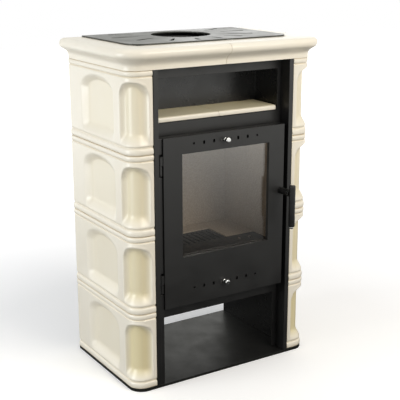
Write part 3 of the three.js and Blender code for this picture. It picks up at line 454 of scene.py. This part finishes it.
def in_metres(profile):
    return [(r * MM, h * MM) for r, h in profile]


def placed(bm, matrix):
    bmesh.ops.transform(bm, matrix=matrix, verts=bm.verts)
    return bm


def along_y(x, y, z, forwards=-1):
    """Places a piece turned about Z so that its height runs along Y from (x, y, z) in mm."""
    turn = Matrix.Rotation(math.pi / 2 if forwards < 0 else -math.pi / 2, 4, "X")
    return Matrix.Translation((x * MM, y * MM, z * MM)) @ turn


def merge(target, source):
    """Adds source's geometry to target and frees source."""
    mesh = bpy.data.meshes.new("part")
    source.to_mesh(mesh)
    source.free()
    target.from_mesh(mesh)
    bpy.data.meshes.remove(mesh)


# ---------- Ceramic tiles ----------

# The outline round one side of the stove, the same as the solids'.
SIDE_X = 0.323
FRONT_Y = -0.198
REAR_Y = 0.198
CORNER = 0.044
TILE_EDGE_X = 0.2468  # the front end of a tile, beside the trim
SIDE_RUN = REAR_Y - FRONT_Y - CORNER
CORNER_RUN = CORNER * math.pi / 2
TILE_END = SIDE_RUN + CORNER_RUN + (SIDE_X - CORNER - TILE_EDGE_X)
COURSE = 0.240
FIRST_COURSE_MM, COURSE_MM = 8.3, 240
TILE_TOP = COURSE - 0.0003
THICKNESS = 0.035

# Depths behind the outline: of the flat face and of the bottom of a recess.
FLAT = 0.0016
DEEP = 0.0165
# Start and end along the outline, drop of the crown, rise of the arch, width of the curved wall.
RECESSES = ((0.082, 0.299, 0.0285, 0.050, 0.033), (0.3325, 0.4405, 0.0320, 0.048, 0.0175))
ARCH_POWER = 2.2  # 2 is an ellipse, and more is squarer
SOFT_WALL = 0.02  # a wider wall is a soft slope, a narrower one a steep curve
SOFT_POWER, STEEP_POWER = 0.8, 2.1
LIP, LIP_SHARE = 0.0035, 0.14  # the first step down at the edge of a steep recess
SILL = (0.024, 0.062)  # heights between which the foot of a recess slopes
# The rim's height, its distance outside the edge, its width, and its share at a soft wall.
RIM, RIM_OUT, RIM_WIDTH, SOFT_RIM_SHARE = 0.0009, 0.0035, 0.0032, 0.3
RIM_FOOT = (0.030, 0.060)  # heights between which the rim grows

# Heights and depths of the half-round bands at the foot and the top of a tile.
LOW_BAND, LOW_BULGE = 0.0195, 0.0042
LOW_GROOVE, LOW_FLAT = 0.0235, 0.030
LOW_STEP = (0.0225, 0.0285)
HIGH_BAND, HIGH_BULGE = COURSE - 0.0165, 0.0044
HIGH_FLAT = COURSE - 0.0215
HIGH_STEP = (HIGH_FLAT, COURSE - 0.0170)
BAND_ROUNDNESS = 0.92
TILE_EDGE_ROUND, TILE_END_ROUND = 0.0022, 0.0018


def outline_at(s):
    """A point of the right-hand outline from the rear edge, with its outward direction."""
    if s <= SIDE_RUN:
        return SIDE_X, REAR_Y - s, 1.0, 0.0
    if s <= SIDE_RUN + CORNER_RUN:
        turn = (s - SIDE_RUN) / CORNER
        nx, ny = math.cos(turn), -math.sin(turn)
        return SIDE_X - CORNER + CORNER * nx, FRONT_Y + CORNER + CORNER * ny, nx, ny
    return SIDE_X - CORNER - (s - SIDE_RUN - CORNER_RUN), FRONT_Y, 0.0, -1.0


def ease(value, low, high):
    t = min(1.0, max(0.0, (value - low) / (high - low)))
    return t * t * (3 - 2 * t)


def round_over(inward, radius):
    """How far a round edge draws the face in, at a distance inward from that edge."""
    if inward >= radius:
        return 0.0
    return radius - math.sqrt(max(0.0, radius**2 - (radius - inward) ** 2))


def inside_arch(s, z, recess):
    """How far (s, z) lies inside the arched edge of a recess, less than 0 outside it."""
    start, end, drop, rise, _ = recess
    half = (end - start) / 2
    u = abs(s - (start + end) / 2)
    spring = COURSE - drop - rise
    if z <= spring:
        return half - u
    up = (z - spring) / rise
    r = ((u / half) ** ARCH_POWER + up**ARCH_POWER) ** (1 / ARCH_POWER)
    blend = min(1.0, up)
    return (1 - r) * (half * (1 - blend) + rise * blend)


def recess_depth(s, z):
    """How far the face lies behind the flat of the tile: arched recesses with a raised rim."""
    depth = 0.0
    for recess in RECESSES:
        inward = inside_arch(s, z, recess)
        wide = recess[-1]
        soft = wide > SOFT_WALL
        if inward > 0:
            if soft:
                curve = ease(inward, 0.0, wide) ** SOFT_POWER
            else:
                fall = 1 - (1 - min(1.0, inward / wide)) ** STEEP_POWER
                curve = ease(inward, 0.0, LIP) * LIP_SHARE + fall * (1 - LIP_SHARE)
            depth += (DEEP - FLAT) * curve * ease(z, *SILL)
        rim = RIM * math.exp(-(((inward + RIM_OUT) / RIM_WIDTH) ** 2))
        depth -= rim * (SOFT_RIM_SHARE if soft else 1.0) * ease(z, *RIM_FOOT)
    return depth


def band(z, low, high, bulge):
    """A half-round bulge between two heights: 0 on its crest, nearly bulge at its edges."""
    t = (z - low) / (high - low) * 2 - 1
    return bulge * (1 - math.sqrt(max(0.0, 1 - BAND_ROUNDNESS * t * t)))


def face_depth(s, z):
    """Depth of the tile's face behind its outline at s along it and z up it."""
    if z < LOW_BAND:
        depth = band(z, 0.0, LOW_BAND, LOW_BULGE)
    elif z < LOW_GROOVE:
        depth = LOW_BULGE
    elif z < LOW_FLAT:
        depth = LOW_BULGE + (FLAT - LOW_BULGE) * ease(z, *LOW_STEP)
    elif z < HIGH_FLAT:
        depth = FLAT
    elif z < HIGH_BAND:
        depth = FLAT + (HIGH_BULGE - FLAT) * ease(z, *HIGH_STEP)
    else:
        depth = band(z, HIGH_BAND, TILE_TOP, HIGH_BULGE)
    if LOW_GROOVE < z < HIGH_FLAT:
        depth += recess_depth(s, z)
    depth += round_over(min(z, TILE_TOP - z), TILE_EDGE_ROUND)
    return depth + round_over(min(s, TILE_END - s), TILE_END_ROUND)


def refined(start, end, fine, coarse, zones):
    """Steps from start to end, fine inside the zones and coarse elsewhere."""
    stops = [start]
    while stops[-1] < end - TOUCHING:
        here = stops[-1]
        step = fine if any(a <= here <= b for a, b in zones) else coarse
        stops.append(min(end, here + step))
    if len(stops) > 2 and stops[-1] - stops[-2] < fine * 0.3:
        stops.pop(-2)
    return stops


FRONT_POOL_AND_SHADE = SIDE_RUN - 0.02  # along the outline, where the front's stronger tint starts: glaze that pools and painted shade
SIDE_POOL_AND_SHADE = 0.30
POOL_AND_SHADE_BY_COURSE = (1.5, 1.15, 0.85, 0.6)  # more in the lower courses: painted shade, as less light reaches them
UNEVEN = 0.00025  # the most that a tile's face waves in or out


def tile_bmesh(bottom, side, wobble, pooling_and_shade):
    """A tile's mesh: a fine face over a plain back. side is 1 on the right and -1 on the left."""
    outside, inside = 0.009, 0.012
    zones = [(recess[0] - outside, recess[0] + inside) for recess in RECESSES]
    zones += [(recess[1] - inside, recess[1] + outside) for recess in RECESSES]
    zones += [(0, 0.003), (TILE_END - 0.003, TILE_END)]
    zones += [(SIDE_RUN, SIDE_RUN + CORNER_RUN)]
    stations = refined(0.0, TILE_END, 0.0014, 0.006, zones)
    levels = refined(0.0, TILE_TOP, 0.0012, 0.005, [(0, 0.032), (COURSE - 0.078, COURSE)])
    bm = bmesh.new()
    pool_and_shade = bm.verts.layers.float.new(POOL_AND_SHADE)
    grid = []
    for s in stations:
        x, y, nx, ny = outline_at(s)
        column = []
        for z in levels:
            depth = face_depth(s, z)
            # The tint's number: more the deeper the point lies, weaker on the side than on the front;
            # partly glaze that pools, partly painted shade.
            amount = max(0.0, (depth - FLAT) / (DEEP - FLAT))
            amount *= pooling_and_shade if s > FRONT_POOL_AND_SHADE else SIDE_POOL_AND_SHADE
            uneven = wobble * UNEVEN * math.sin(s * 31 + z * 23 + wobble * 9)
            depth = max(0.0, depth + uneven)
            point = bm.verts.new((side * (x - nx * depth), y - ny * depth, bottom + z))
            point[pool_and_shade] = amount
            column.append(point)
        back_x, back_y = side * (x - nx * THICKNESS), y - ny * THICKNESS
        for z in (levels[-1], 0.0):
            column.append(bm.verts.new((back_x, back_y, bottom + z)))
        grid.append(column)
    swept(bm, grid)
    return bm


def make_tiles():
    # Each course gets its own strength of painted shade in its tint, more the lower it lies.
    for course, pooling_and_shade in enumerate(POOL_AND_SHADE_BY_COURSE):
        bottom = (FIRST_COURSE_MM + COURSE_MM * course) * MM
        for word, side in (("right", 1), ("left", -1)):
            name = f"tile_{course + 1}_{word}"
            bm = tile_bmesh(bottom, side, rng.uniform(0.4, 1.0), pooling_and_shade)
            piece = new_piece("glazed_" + name, bm, GLAZE, "frame", 50)
            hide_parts(name)


# ---------- Cornice ----------

CORNICE_Z = 0.968
CORNICE_FOOT = 0.0003
HALF_JOINT = 0.0005
CORNICE_END_ROUND = 0.0016
# The inner side of the right half: x, y and height of its corners, from the top to the foot.
CORNICE_BACK = (
    (0.262, -0.137, 0.062), (0.262, -0.137, 0.040),
    (0.293, -0.150, 0.040), (0.293, -0.150, CORNICE_FOOT),
)


def bezier(p0, p1, p2, p3, steps):
    points = []
    for i in range(1, steps + 1):
        t = i / steps
        points.append(
            tuple(
                (1 - t) ** 3 * a + 3 * t * (1 - t) ** 2 * b + 3 * t * t * (1 - t) * c + t**3 * d
                for a, b, c, d in zip(p0, p1, p2, p3)
            )
        )
    return points


def cornice_section():
    """[outwards, height] in metres, the same curves as the solid's, drawn finer."""
    height, strip, cove, reach, nose, flat = 62, 9, 23, 20, 28, 10
    foot = strip + cove
    middle = (foot + height) / 2
    curves = (
        ((0, strip), (0, strip + cove * 0.57), (reach * 0.5, strip + cove * 0.74),
         (reach, foot), 14),
        ((reach, foot), (reach + (nose - reach) * 0.75, foot + 3.5), (nose, middle - 6),
         (nose, middle), 12),
        ((nose, middle), (nose, height - 6), ((nose + flat) / 2, height), (flat, height), 14),
    )
    points = [(0, 0.3), (0, strip)]
    for curve in curves:
        points += bezier(*curve)
    return in_metres(points)


def cornice_bmesh(side):
    section = cornice_section()
    start = SIDE_RUN + CORNER_RUN
    end = start + SIDE_X - CORNER - HALF_JOINT
    stations = [0.0] + [SIDE_RUN * i / 12 for i in range(1, 12)]
    stations += [SIDE_RUN + CORNER_RUN * i / 28 for i in range(29)]
    stations += [start + (end - start) * i / 10 for i in range(1, 11)]
    bm = bmesh.new()
    grid = []
    for s in stations:
        x, y, nx, ny = outline_at(s)
        pull = round_over(min(s, end - s), CORNICE_END_ROUND)
        column = [
            (x + nx * (out - pull), y + ny * (out - pull), CORNICE_Z + max(up, CORNICE_FOOT))
            for out, up in section
        ]
        column += [(min(x, bx), max(y, by), CORNICE_Z + bz) for bx, by, bz in CORNICE_BACK]
        grid.append([bm.verts.new((side * a, b, c)) for a, b, c in column])
    swept(bm, grid)
    return bm


def make_cornice():
    for word, side in (("right", 1), ("left", -1)):
        bm = cornice_bmesh(side)
        piece = new_piece(f"glazed_cornice_{word}", bm, GLAZE, "frame", 40)
        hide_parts(f"cornice_{word}")


# ---------- Shelf tiles ----------

SHELF_CORNER, SHELF_NOSE, SHELF_JOINT = 0.010, 0.0065, 0.0010
# Share of the round edge that draws the underside in, and height above it.
SHELF_UNDERSIDE = [(0.3, 0.0), (0.08, 0.0010), (0.0, 0.0030)]
SHELF_REAR_SHADE = 1.5  # painted shade on the shelf's top, strongest at its rear edge


def shelf_outline(low, high, sign):
    """Points round a slab: x, y, and how far the round edge draws them in."""
    corner, nose, joint = SHELF_CORNER, SHELF_NOSE, SHELF_JOINT
    inner, outer = (low.x, high.x) if sign > 0 else (high.x, low.x)
    run = outer - sign * corner
    outline = [(inner, high.y, sign * joint, -joint), (inner, low.y, sign * joint, nose)]
    outline += [(inner + (run - inner) * i / 6, low.y, 0, nose) for i in range(1, 6)]
    for i in range(9):
        turn = -math.pi / 2 + i * math.pi / 16
        across, along = sign * math.cos(turn), math.sin(turn)
        x, y = run + corner * across, low.y + corner + corner * along
        outline.append((x, y, -across * nose, -along * nose))
    outline.append((outer, high.y, -sign * joint, -joint))
    return outline


def make_shelf_tiles():
    """Two glazed slabs with a round front edge and a round outer front corner."""
    for side, sign in (("right", 1), ("left", -1)):
        low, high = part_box(f"shelf_tile_{side}")
        outline = shelf_outline(low, high, sign)
        spring = high.z - low.z - SHELF_NOSE
        layers = SHELF_UNDERSIDE + [
            (1 - math.cos(turn), spring + SHELF_NOSE * math.sin(turn))
            for turn in (0, 0.26, 0.52, 0.79, 1.05, 1.31, 1.57)
        ]
        bm = bmesh.new()
        pool_and_shade = bm.verts.layers.float.new(POOL_AND_SHADE)
        rings = []
        for share, height in layers:
            ring = []
            for x, y, draw_x, draw_y in outline:
                point = bm.verts.new((x + draw_x * share, y + draw_y * share, low.z + height))
                # Painted shade: the top takes the full tint, more at the rear, the underside a
                # little.
                point[pool_and_shade] = share if y < low.y + 2 * SHELF_CORNER else SHELF_REAR_SHADE
                ring.append(point)
            rings.append(ring if sign > 0 else list(reversed(ring)))
        wall(bm, rings)
        bm.faces.new(list(reversed(rings[0])))
        bm.faces.new(rings[-1])
        piece = new_piece(f"shelf_slab_{side}", bm, GLAZE, "frame", 40)
        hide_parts(f"shelf_tile_{side}")


# ---------- Knobs and handle ----------

# Radius and height in mm: a sleeve round the stem, with a collar by the door, and a round head.
KNOB_PROFILE = (
    (3.1, -9.3), (5.6, -9.3), (5.6, -8.2), (4.3, -7.6), (4.3, 3.0), (6.9, 4.0), (8.2, 5.0),
    (8.5, 6.6), (8.5, 8.4), (7.8, 9.8), (5.8, 10.7), (3.0, 11.0), (0, 11.0),
)
BUTTON_PROFILE = (
    (0, 0), (3.2, 0), (4.9, 0.9), (5.5, 2.6), (5.5, 5.2), (4.6, 5.9), (4.6, 7.0), (0, 7.0),
)
HUB_STEPS, HUB_LOBES = 96, 8
HUB_BORE = 5.3 * MM
HUB_CORE, HUB_LOBE = 0.0094, 0.0016
HUB_END = [(0.0, 0.90), (0.0006, 0.96), (0.0018, 1.0)]  # distance from the end, share of the radius


def make_knobs():
    for row in ("upper", "lower"):
        low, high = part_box(f"{row}_air_knob")
        middle = (low + high) / 2 / MM
        bm = lathe(in_metres(rounded(KNOB_PROFILE, 0.7)), 56)
        placed(bm, along_y(middle.x, high.y / MM, middle.z))
        piece = new_piece(f"{row}_knob", bm, BRIGHT, f"{row}_air", 60)
        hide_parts(f"{row}_air_knob")


def lobed_ring(share, height):
    """Points round the hub at a height, out to a share of its radius."""
    ring = []
    for i in range(HUB_STEPS):
        turn = 2 * math.pi * i / HUB_STEPS
        lobe = abs(math.sin(turn * HUB_LOBES / 2)) ** 0.6
        radius = (HUB_CORE + HUB_LOBE * lobe) * share
        ring.append((radius * math.cos(turn), radius * math.sin(turn), height))
    return ring


def make_hub():
    """The ribbed neck of the handle: eight round lobes, with rounded ends and a bore."""
    low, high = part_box("handle_hub")
    middle = (low + high) / 2
    length = high.y - low.y
    rows = HUB_END + [(length - inward, share) for inward, share in reversed(HUB_END)]
    rings = [lobed_ring(share, height) for height, share in rows]
    rings += [circle(HUB_BORE, height, HUB_STEPS) for height in (length, 0.0)]
    bm = bmesh.new()
    rings = [[bm.verts.new(point) for point in ring] for ring in rings]
    wall(bm, rings + rings[:1])
    turn = Matrix.Rotation(math.pi / 2, 4, "X")
    placed(bm, Matrix.Translation((middle.x, high.y, middle.z)) @ turn)
    piece = new_piece("ribbed_hub", bm, HANDLE, "handle", 40)
    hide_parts("handle_hub")


def make_grip():
    """The round grip and the bright button at its lower end."""
    low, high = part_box("handle_grip")
    middle = (low + high) / 2
    radius = (high.x - low.x) / 2 / MM
    length = (high.z - low.z) / MM
    profile = [
        (0, 0), (radius - 2.4, 0), (radius - 0.8, 1.0), (radius, 3.2), (radius, length - 4),
        (radius - 0.7, length - 1.2), (radius - 2.6, length), (0, length),
    ]
    bm = lathe(in_metres(rounded(profile, 1.6)), 64)
    placed(bm, Matrix.Translation((middle.x, middle.y, low.z)))
    piece = new_piece("round_grip", bm, HANDLE, "handle", 50)
    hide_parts("handle_grip")
    low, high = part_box("handle_button")
    middle = (low + high) / 2
    bm = lathe(in_metres(rounded(BUTTON_PROFILE, 0.6)), 48)
    placed(bm, Matrix.Translation((middle.x, middle.y, low.z)))
    piece = new_piece("end_button", bm, BRIGHT, "handle", 50)
    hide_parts("handle_button")


# ---------- Rope seal ----------

ROPE_HALF_WIDE = 0.0050
ROPE_CORNER = 0.012
ROPE_SIDES, ROPE_STRANDS, ROPE_PITCH = 20, 8, 0.022
BRAID = 0.10  # how deep the braid goes, as a share of the rope's radius


def ring_path(half_x, low_z, high_z, radius, step=0.004):
    """Points about a step apart, round a rectangle with rounded corners in the XZ plane."""
    corners = (
        (half_x - radius, high_z - radius, 0), (-half_x + radius, high_z - radius, 1),
        (-half_x + radius, low_z + radius, 2), (half_x - radius, low_z + radius, 3),
    )
    points = []
    for x, z, quarter in corners:
        for i in range(9):
            turn = math.pi / 2 * (quarter + i / 8)
            points.append(Vector((x + radius * math.cos(turn), 0, z + radius * math.sin(turn))))
    dense = []
    for a, b in zip(points, points[1:] + points[:1]):
        count = max(1, round((b - a).length / step))
        dense += [a.lerp(b, i / count) for i in range(count)]
    return dense


def rope_bmesh(path, y, half_deep):
    """A braided rope pressed a little flat, laid along a closed path at depth y."""
    depthwise = Vector((0, 1, 0))
    bm = bmesh.new()
    rings = []
    walked = 0.0
    count = len(path)
    for i, point in enumerate(path):
        ahead, behind = path[(i + 1) % count], path[i - 1]
        out = (ahead - behind).normalized().cross(depthwise).normalized()
        lay = walked / ROPE_PITCH * 2 * math.pi
        ring = []
        for k in range(ROPE_SIDES):
            turn = 2 * math.pi * k / ROPE_SIDES
            strand = turn * ROPE_STRANDS / 2
            braid = 0.5 * (abs(math.sin(strand + lay)) + abs(math.sin(strand - lay)))
            swell = 1 - BRAID * (1 - braid)
            across = out * ROPE_HALF_WIDE * swell * math.cos(turn)
            ring.append(
                bm.verts.new(point + across + depthwise * (y + half_deep * swell * math.sin(turn)))
            )
        rings.append(ring)
        walked += (ahead - point).length
    wall(bm, rings + rings[:1])
    return bm


def make_rope_seal():
    low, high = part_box("door_seal")
    half_deep = (high.y - low.y) / 2 - 0.0001
    wide = ROPE_HALF_WIDE
    path = ring_path(high.x - wide, low.z + wide, high.z - wide, ROPE_CORNER)
    bm = rope_bmesh(path, (low.y + high.y) / 2, half_deep)
    piece = new_piece("rope_seal", bm, ROPE, "door", 80)
    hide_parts("door_seal")


# ---------- Small fasteners ----------

BOLT_SIDES = 48
WASHER, WASHER_TOP = 1.18, 0.12  # shares of the bolt's radius and height
SEAT = 0.1  # mm between a fastener and the face it sits on
SILL_BOLTS_X, SILL_BOLTS_Y = (-0.154, -0.1125, 0.1125, 0.154), -0.107
SHIELD_SCREWS_X = (-0.245, 0.0, 0.245)


def hex_bolt(radius, height):
    """A hexagon head with a chamfered top and a washer face, standing on z = 0."""
    rings = [
        circle(r * radius, h * height, BOLT_SIDES)
        for r, h in ((WASHER, 0.0), (WASHER, WASHER_TOP), (1.0, WASHER_TOP))
    ]
    for share, h in ((1.0, WASHER_TOP), (1.0, 0.86), (0.86, 1.0)):
        ring = []
        for i in range(BOLT_SIDES):
            turn = 2 * math.pi * i / BOLT_SIDES
            sixth = (turn % (math.pi / 3)) - math.pi / 6
            reach = share * (math.cos(math.pi / 6) / math.cos(sixth)) * radius
            ring.append((reach * math.cos(turn), reach * math.sin(turn), h * height))
        rings.append(ring)
    bm = bmesh.new()
    made = [[bm.verts.new(point) for point in ring] for ring in rings]
    wall(bm, made)
    bm.faces.new(list(reversed(made[0])))
    bm.faces.new(made[-1])
    bmesh.ops.remove_doubles(bm, verts=bm.verts, dist=TOUCHING)
    return bm


def pan_screw(radius, height):
    """A domed screw head with a cross recess, standing on z = 0."""
    shoulder, cut = 0.25, 0.38  # shares of the height
    profile = [(0, 0), (radius, 0), (radius, height * shoulder)]
    profile += [
        (radius * math.cos(a), height * (shoulder + (1 - shoulder) * math.sin(a)))
        for a in (0.35, 0.7, 1.0, 1.25, 1.45)
    ]
    profile.append((0, height))
    bm = lathe(profile, 40)
    for turn in (0, math.pi / 2):
        for v in bm.verts:
            p = Matrix.Rotation(turn, 3, "Z") @ v.co
            in_cross = abs(p.y) < radius * 0.16 and abs(p.x) < radius * 0.62
            if v.co.z > height * 0.5 and in_cross:
                v.co.z -= height * cut
    return bm


def make_fasteners():
    sill = bmesh.new()
    sill_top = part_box("sill_plate")[1].z
    for x in SILL_BOLTS_X:
        place = Matrix.Translation((x, SILL_BOLTS_Y, sill_top + SEAT * MM))
        merge(sill, placed(hex_bolt(0.0052, 0.0045), place))
    new_piece("sill_bolts", sill, BRIGHT, "frame", 30)

    nuts = bmesh.new()
    low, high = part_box("glass_retainer")
    for x in (low.x + 0.006, high.x - 0.006):
        for z in (low.z + 0.026, high.z - 0.026):
            place = along_y(x / MM, high.y / MM + SEAT, z / MM, 1)
            merge(nuts, placed(hex_bolt(0.0056, 0.0042), place))
    new_piece("retainer_nuts", nuts, STEEL, "door", 30)

    screws = bmesh.new()
    low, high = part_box("rear_shield")
    for x in SHIELD_SCREWS_X:
        for z in (low.z + 0.012, (low.z + high.z) / 2 + 0.15, high.z - 0.012):
            place = along_y(x / MM, high.y / MM + SEAT, z / MM, 1)
            merge(screws, placed(pan_screw(0.0045, 0.0022), place))
    new_piece("shield_screws", screws, BLACK, "frame", 30)


# ---------- CAD nodes that stay ----------

# Width of each node's rounded edges, in mm.
SOFT_EDGES = {
    "base_plate": 1.2, "top_plate": 0.9, "trim_right": 0.9, "trim_left": 0.9,
    "front_panel": 0.6, "side_sheet_right": 0.4, "side_sheet_left": 0.4, "rear_shield": 0.4,
    "storage_ceiling": 0.4, "niche_box": 0.4, "hinge_post": 0.8, "latch_keeper": 0.8,
    "door_panel": 0.8, "door_inner_plate": 0.5, "glass_retainer": 0.5, "back_lining": 1.4,
    "side_lining_right": 1.4, "side_lining_left": 1.4, "floor_lining": 1.4, "baffle": 1.4,
    "grate": 1.0, "sill_plate": 1.2, "ash_pan": 0.4, "brick_carrier": 0.6, "latch_cam": 0.5,
    "handle_spindle": 0.6, "flue_collar": 0.8, "smoke_box_roof": 0.6,
    "body_side_plate_right": 0.5, "body_side_plate_left": 0.5, "body_back_plate": 0.5,
    "body_bottom_plate": 0.5, "body_ceiling_plate": 0.5, "smoke_box_front": 0.5,
    "upper_air_slider": 0.3, "lower_air_slider": 0.3, "glass_gasket": 0.5,
    "upper_door_knuckle": 0.5, "upper_hinge_bracket": 0.5, "lower_door_knuckle": 0.5,
    "lower_hinge_bracket": 0.5,
}
OWN_FINISH = {
    "niche_box": BLACK_SMOOTH, "side_sheet_right": BLACK_SMOOTH, "side_sheet_left": BLACK_SMOOTH,
    "top_plate": BLACK_TOP_PAINTED_SHEEN, "base_plate": BLACK_BASE,
}


def finish_nodes():
    slot_of = {s["node"]: s["material_slot"] for s in frame["record"]["subparts"]}
    for name, node in nodes.items():
        node.data.materials.clear()
        node.data.materials.append(OWN_FINISH.get(name, BY_SLOT[slot_of[name]]))
        if name in SOFT_EDGES:
            soften_node(name, SOFT_EDGES[name] * MM)


# ---------- Floor, world and lamps ----------

FLOOR_REACH, FLOOR_Z = 9.0, -0.0005
FLOOR_LIFT = 0.165
FLOOR_LIT, FLOOR_SEEN = (0.32,) * 3, (0.93,) * 3  # for light that bounces, and for the camera
WORLD_LOW, WORLD_HIGH = 0.34, 0.56
WORLD_COLOR = (0.98, 0.99, 1.0)
WHITE = (1.0, 1.0, 1.0)
MIRRORED_WHITE = (1.0, 1.0, 0.965)
# Name, place, the point it faces, width and height, watts, color. The last one stands for the
# light that finds its way into the firebox.
LAMPS = (
    ("key", (-3.2, 0.3, 0.85), (0, 0, 0.45), (1.5, 1.8), 58, (0.98, 0.995, 1.0)),
    ("top", (-0.4, 0.2, 3.3), (0, 0, 0.5), (2.4, 2.4), 8, WHITE),
    ("front", (0.8, -2.5, 2.2), (0, 0, 0.7), (1.8, 1.4), 57, (1.0, 0.935, 0.835)),
    ("rear", (2.7, 3.1, 1.5), (0, 0, 0.9), (1.6, 1.2), 6, WHITE),
    ("inside", (0, -0.105, 0.728), (0.06, 0.11, 0.50), (0.30, 0.06), 0.075, (1.0, 0.95, 0.89)),
)


def make_floor():
    mesh = bpy.data.meshes.new("floor")
    corners = [
        (x * FLOOR_REACH, y * FLOOR_REACH, 0) for x, y in ((-1, -1), (1, -1), (1, 1), (-1, 1))
    ]
    mesh.from_pydata(corners, [], [(0, 1, 2, 3)])
    floor = bpy.data.objects.new("floor", mesh)
    bpy.context.scene.collection.objects.link(floor)
    floor.location.z = FLOOR_Z
    paint = Paint("pale_floor").set(Specular_IOR_Level=0.1)
    paint.roughness(paint.uneven(8, 2, 0.86, 0.94))
    tree = paint.tree
    path = tree.nodes.new("ShaderNodeLightPath")
    seen, mirrored = path.outputs["Is Camera Ray"], path.outputs["Is Glossy Ray"]
    paint.color(paint.mix(seen, FLOOR_LIT, FLOOR_SEEN))
    # White away from the object: nearer by for the camera than in the steel and the glass.
    length = tree.nodes.new("ShaderNodeVectorMath")
    length.operation = "LENGTH"
    paint.link(paint.place, length.inputs[0])
    distance = length.outputs["Value"]
    for_camera = paint.math("MULTIPLY", seen, paint.spread(distance, 0.75, 1.7))
    white = tree.nodes.new("ShaderNodeEmission")
    paint.link(paint.mix(seen, MIRRORED_WHITE, WHITE), white.inputs["Color"])
    far = paint.spread(distance, 1.3, 3.7, 0.05, 1.6)
    paint.link(paint.math("MAXIMUM", seen, far), white.inputs["Strength"])
    share = paint.math("MAXIMUM", for_camera, mirrored)
    mixed = paint.mixed_shader(share, paint.shader.outputs[0], white.outputs[0])
    # The bit of light that lifts the lit floor to white for the camera.
    lift = tree.nodes.new("ShaderNodeEmission")
    lift.inputs["Color"].default_value = (*WHITE, 1)
    paint.link(paint.math("MULTIPLY", seen, FLOOR_LIFT), lift.inputs["Strength"])
    both = tree.nodes.new("ShaderNodeAddShader")
    paint.link(mixed, both.inputs[0])
    paint.link(lift.outputs[0], both.inputs[1])
    paint.show(both.outputs[0])
    mesh.materials.append(paint.material)


def make_world():
    """White to look at and in mirrors. As light, brighter from above than from the side."""
    world = bpy.data.worlds.new("studio")
    bpy.context.scene.world = world
    world.use_nodes = True
    tree = world.node_tree
    tree.nodes.clear()
    way = tree.nodes.new("ShaderNodeTexCoord").outputs["Generated"]
    parts = tree.nodes.new("ShaderNodeSeparateXYZ")
    tree.links.new(way, parts.inputs[0])
    height = tree.nodes.new("ShaderNodeMapRange")
    limits = {"From Min": -0.1, "From Max": 1.0, "To Min": WORLD_LOW, "To Max": WORLD_HIGH}
    for key, value in limits.items():
        height.inputs[key].default_value = value
    tree.links.new(parts.outputs["Z"], height.inputs["Value"])
    lit = tree.nodes.new("ShaderNodeBackground")
    lit.inputs["Color"].default_value = (*WORLD_COLOR, 1)
    tree.links.new(height.outputs["Result"], lit.inputs["Strength"])
    path = tree.nodes.new("ShaderNodeLightPath")
    last = lit.outputs[0]
    shown_as = {"Glossy": MIRRORED_WHITE, "Transmission": WHITE, "Camera": WHITE}
    for ray, color in shown_as.items():
        shown = tree.nodes.new("ShaderNodeBackground")
        shown.inputs["Color"].default_value = (*color, 1)
        shown.inputs["Strength"].default_value = 1.0
        mixer = tree.nodes.new("ShaderNodeMixShader")
        sources = (path.outputs[f"Is {ray} Ray"], last, shown.outputs[0])
        for source, slot in zip(sources, mixer.inputs):
            tree.links.new(source, slot)
        last = mixer.outputs[0]
    output = tree.nodes.new("ShaderNodeOutputWorld")
    tree.links.new(last, output.inputs["Surface"])


def make_lamp(name, place, aim, size, watts, color):
    data = bpy.data.lights.new(name, "AREA")
    data.shape = "RECTANGLE"
    data.size, data.size_y = size
    data.energy = watts
    data.color = color
    lamp = bpy.data.objects.new(name, data)
    lamp.location = place
    lamp.rotation_euler = (Vector(aim) - Vector(place)).to_track_quat("-Z", "Y").to_euler()
    lamp.visible_camera = False
    bpy.context.scene.collection.objects.link(lamp)


make_tiles()
make_cornice()
make_shelf_tiles()
make_knobs()
make_hub()
make_grip()
make_rope_seal()
make_fasteners()
finish_nodes()
make_floor()
make_world()
for settings in LAMPS:
    make_lamp(*settings)

bpy.context.scene.view_settings.view_transform = "Standard"
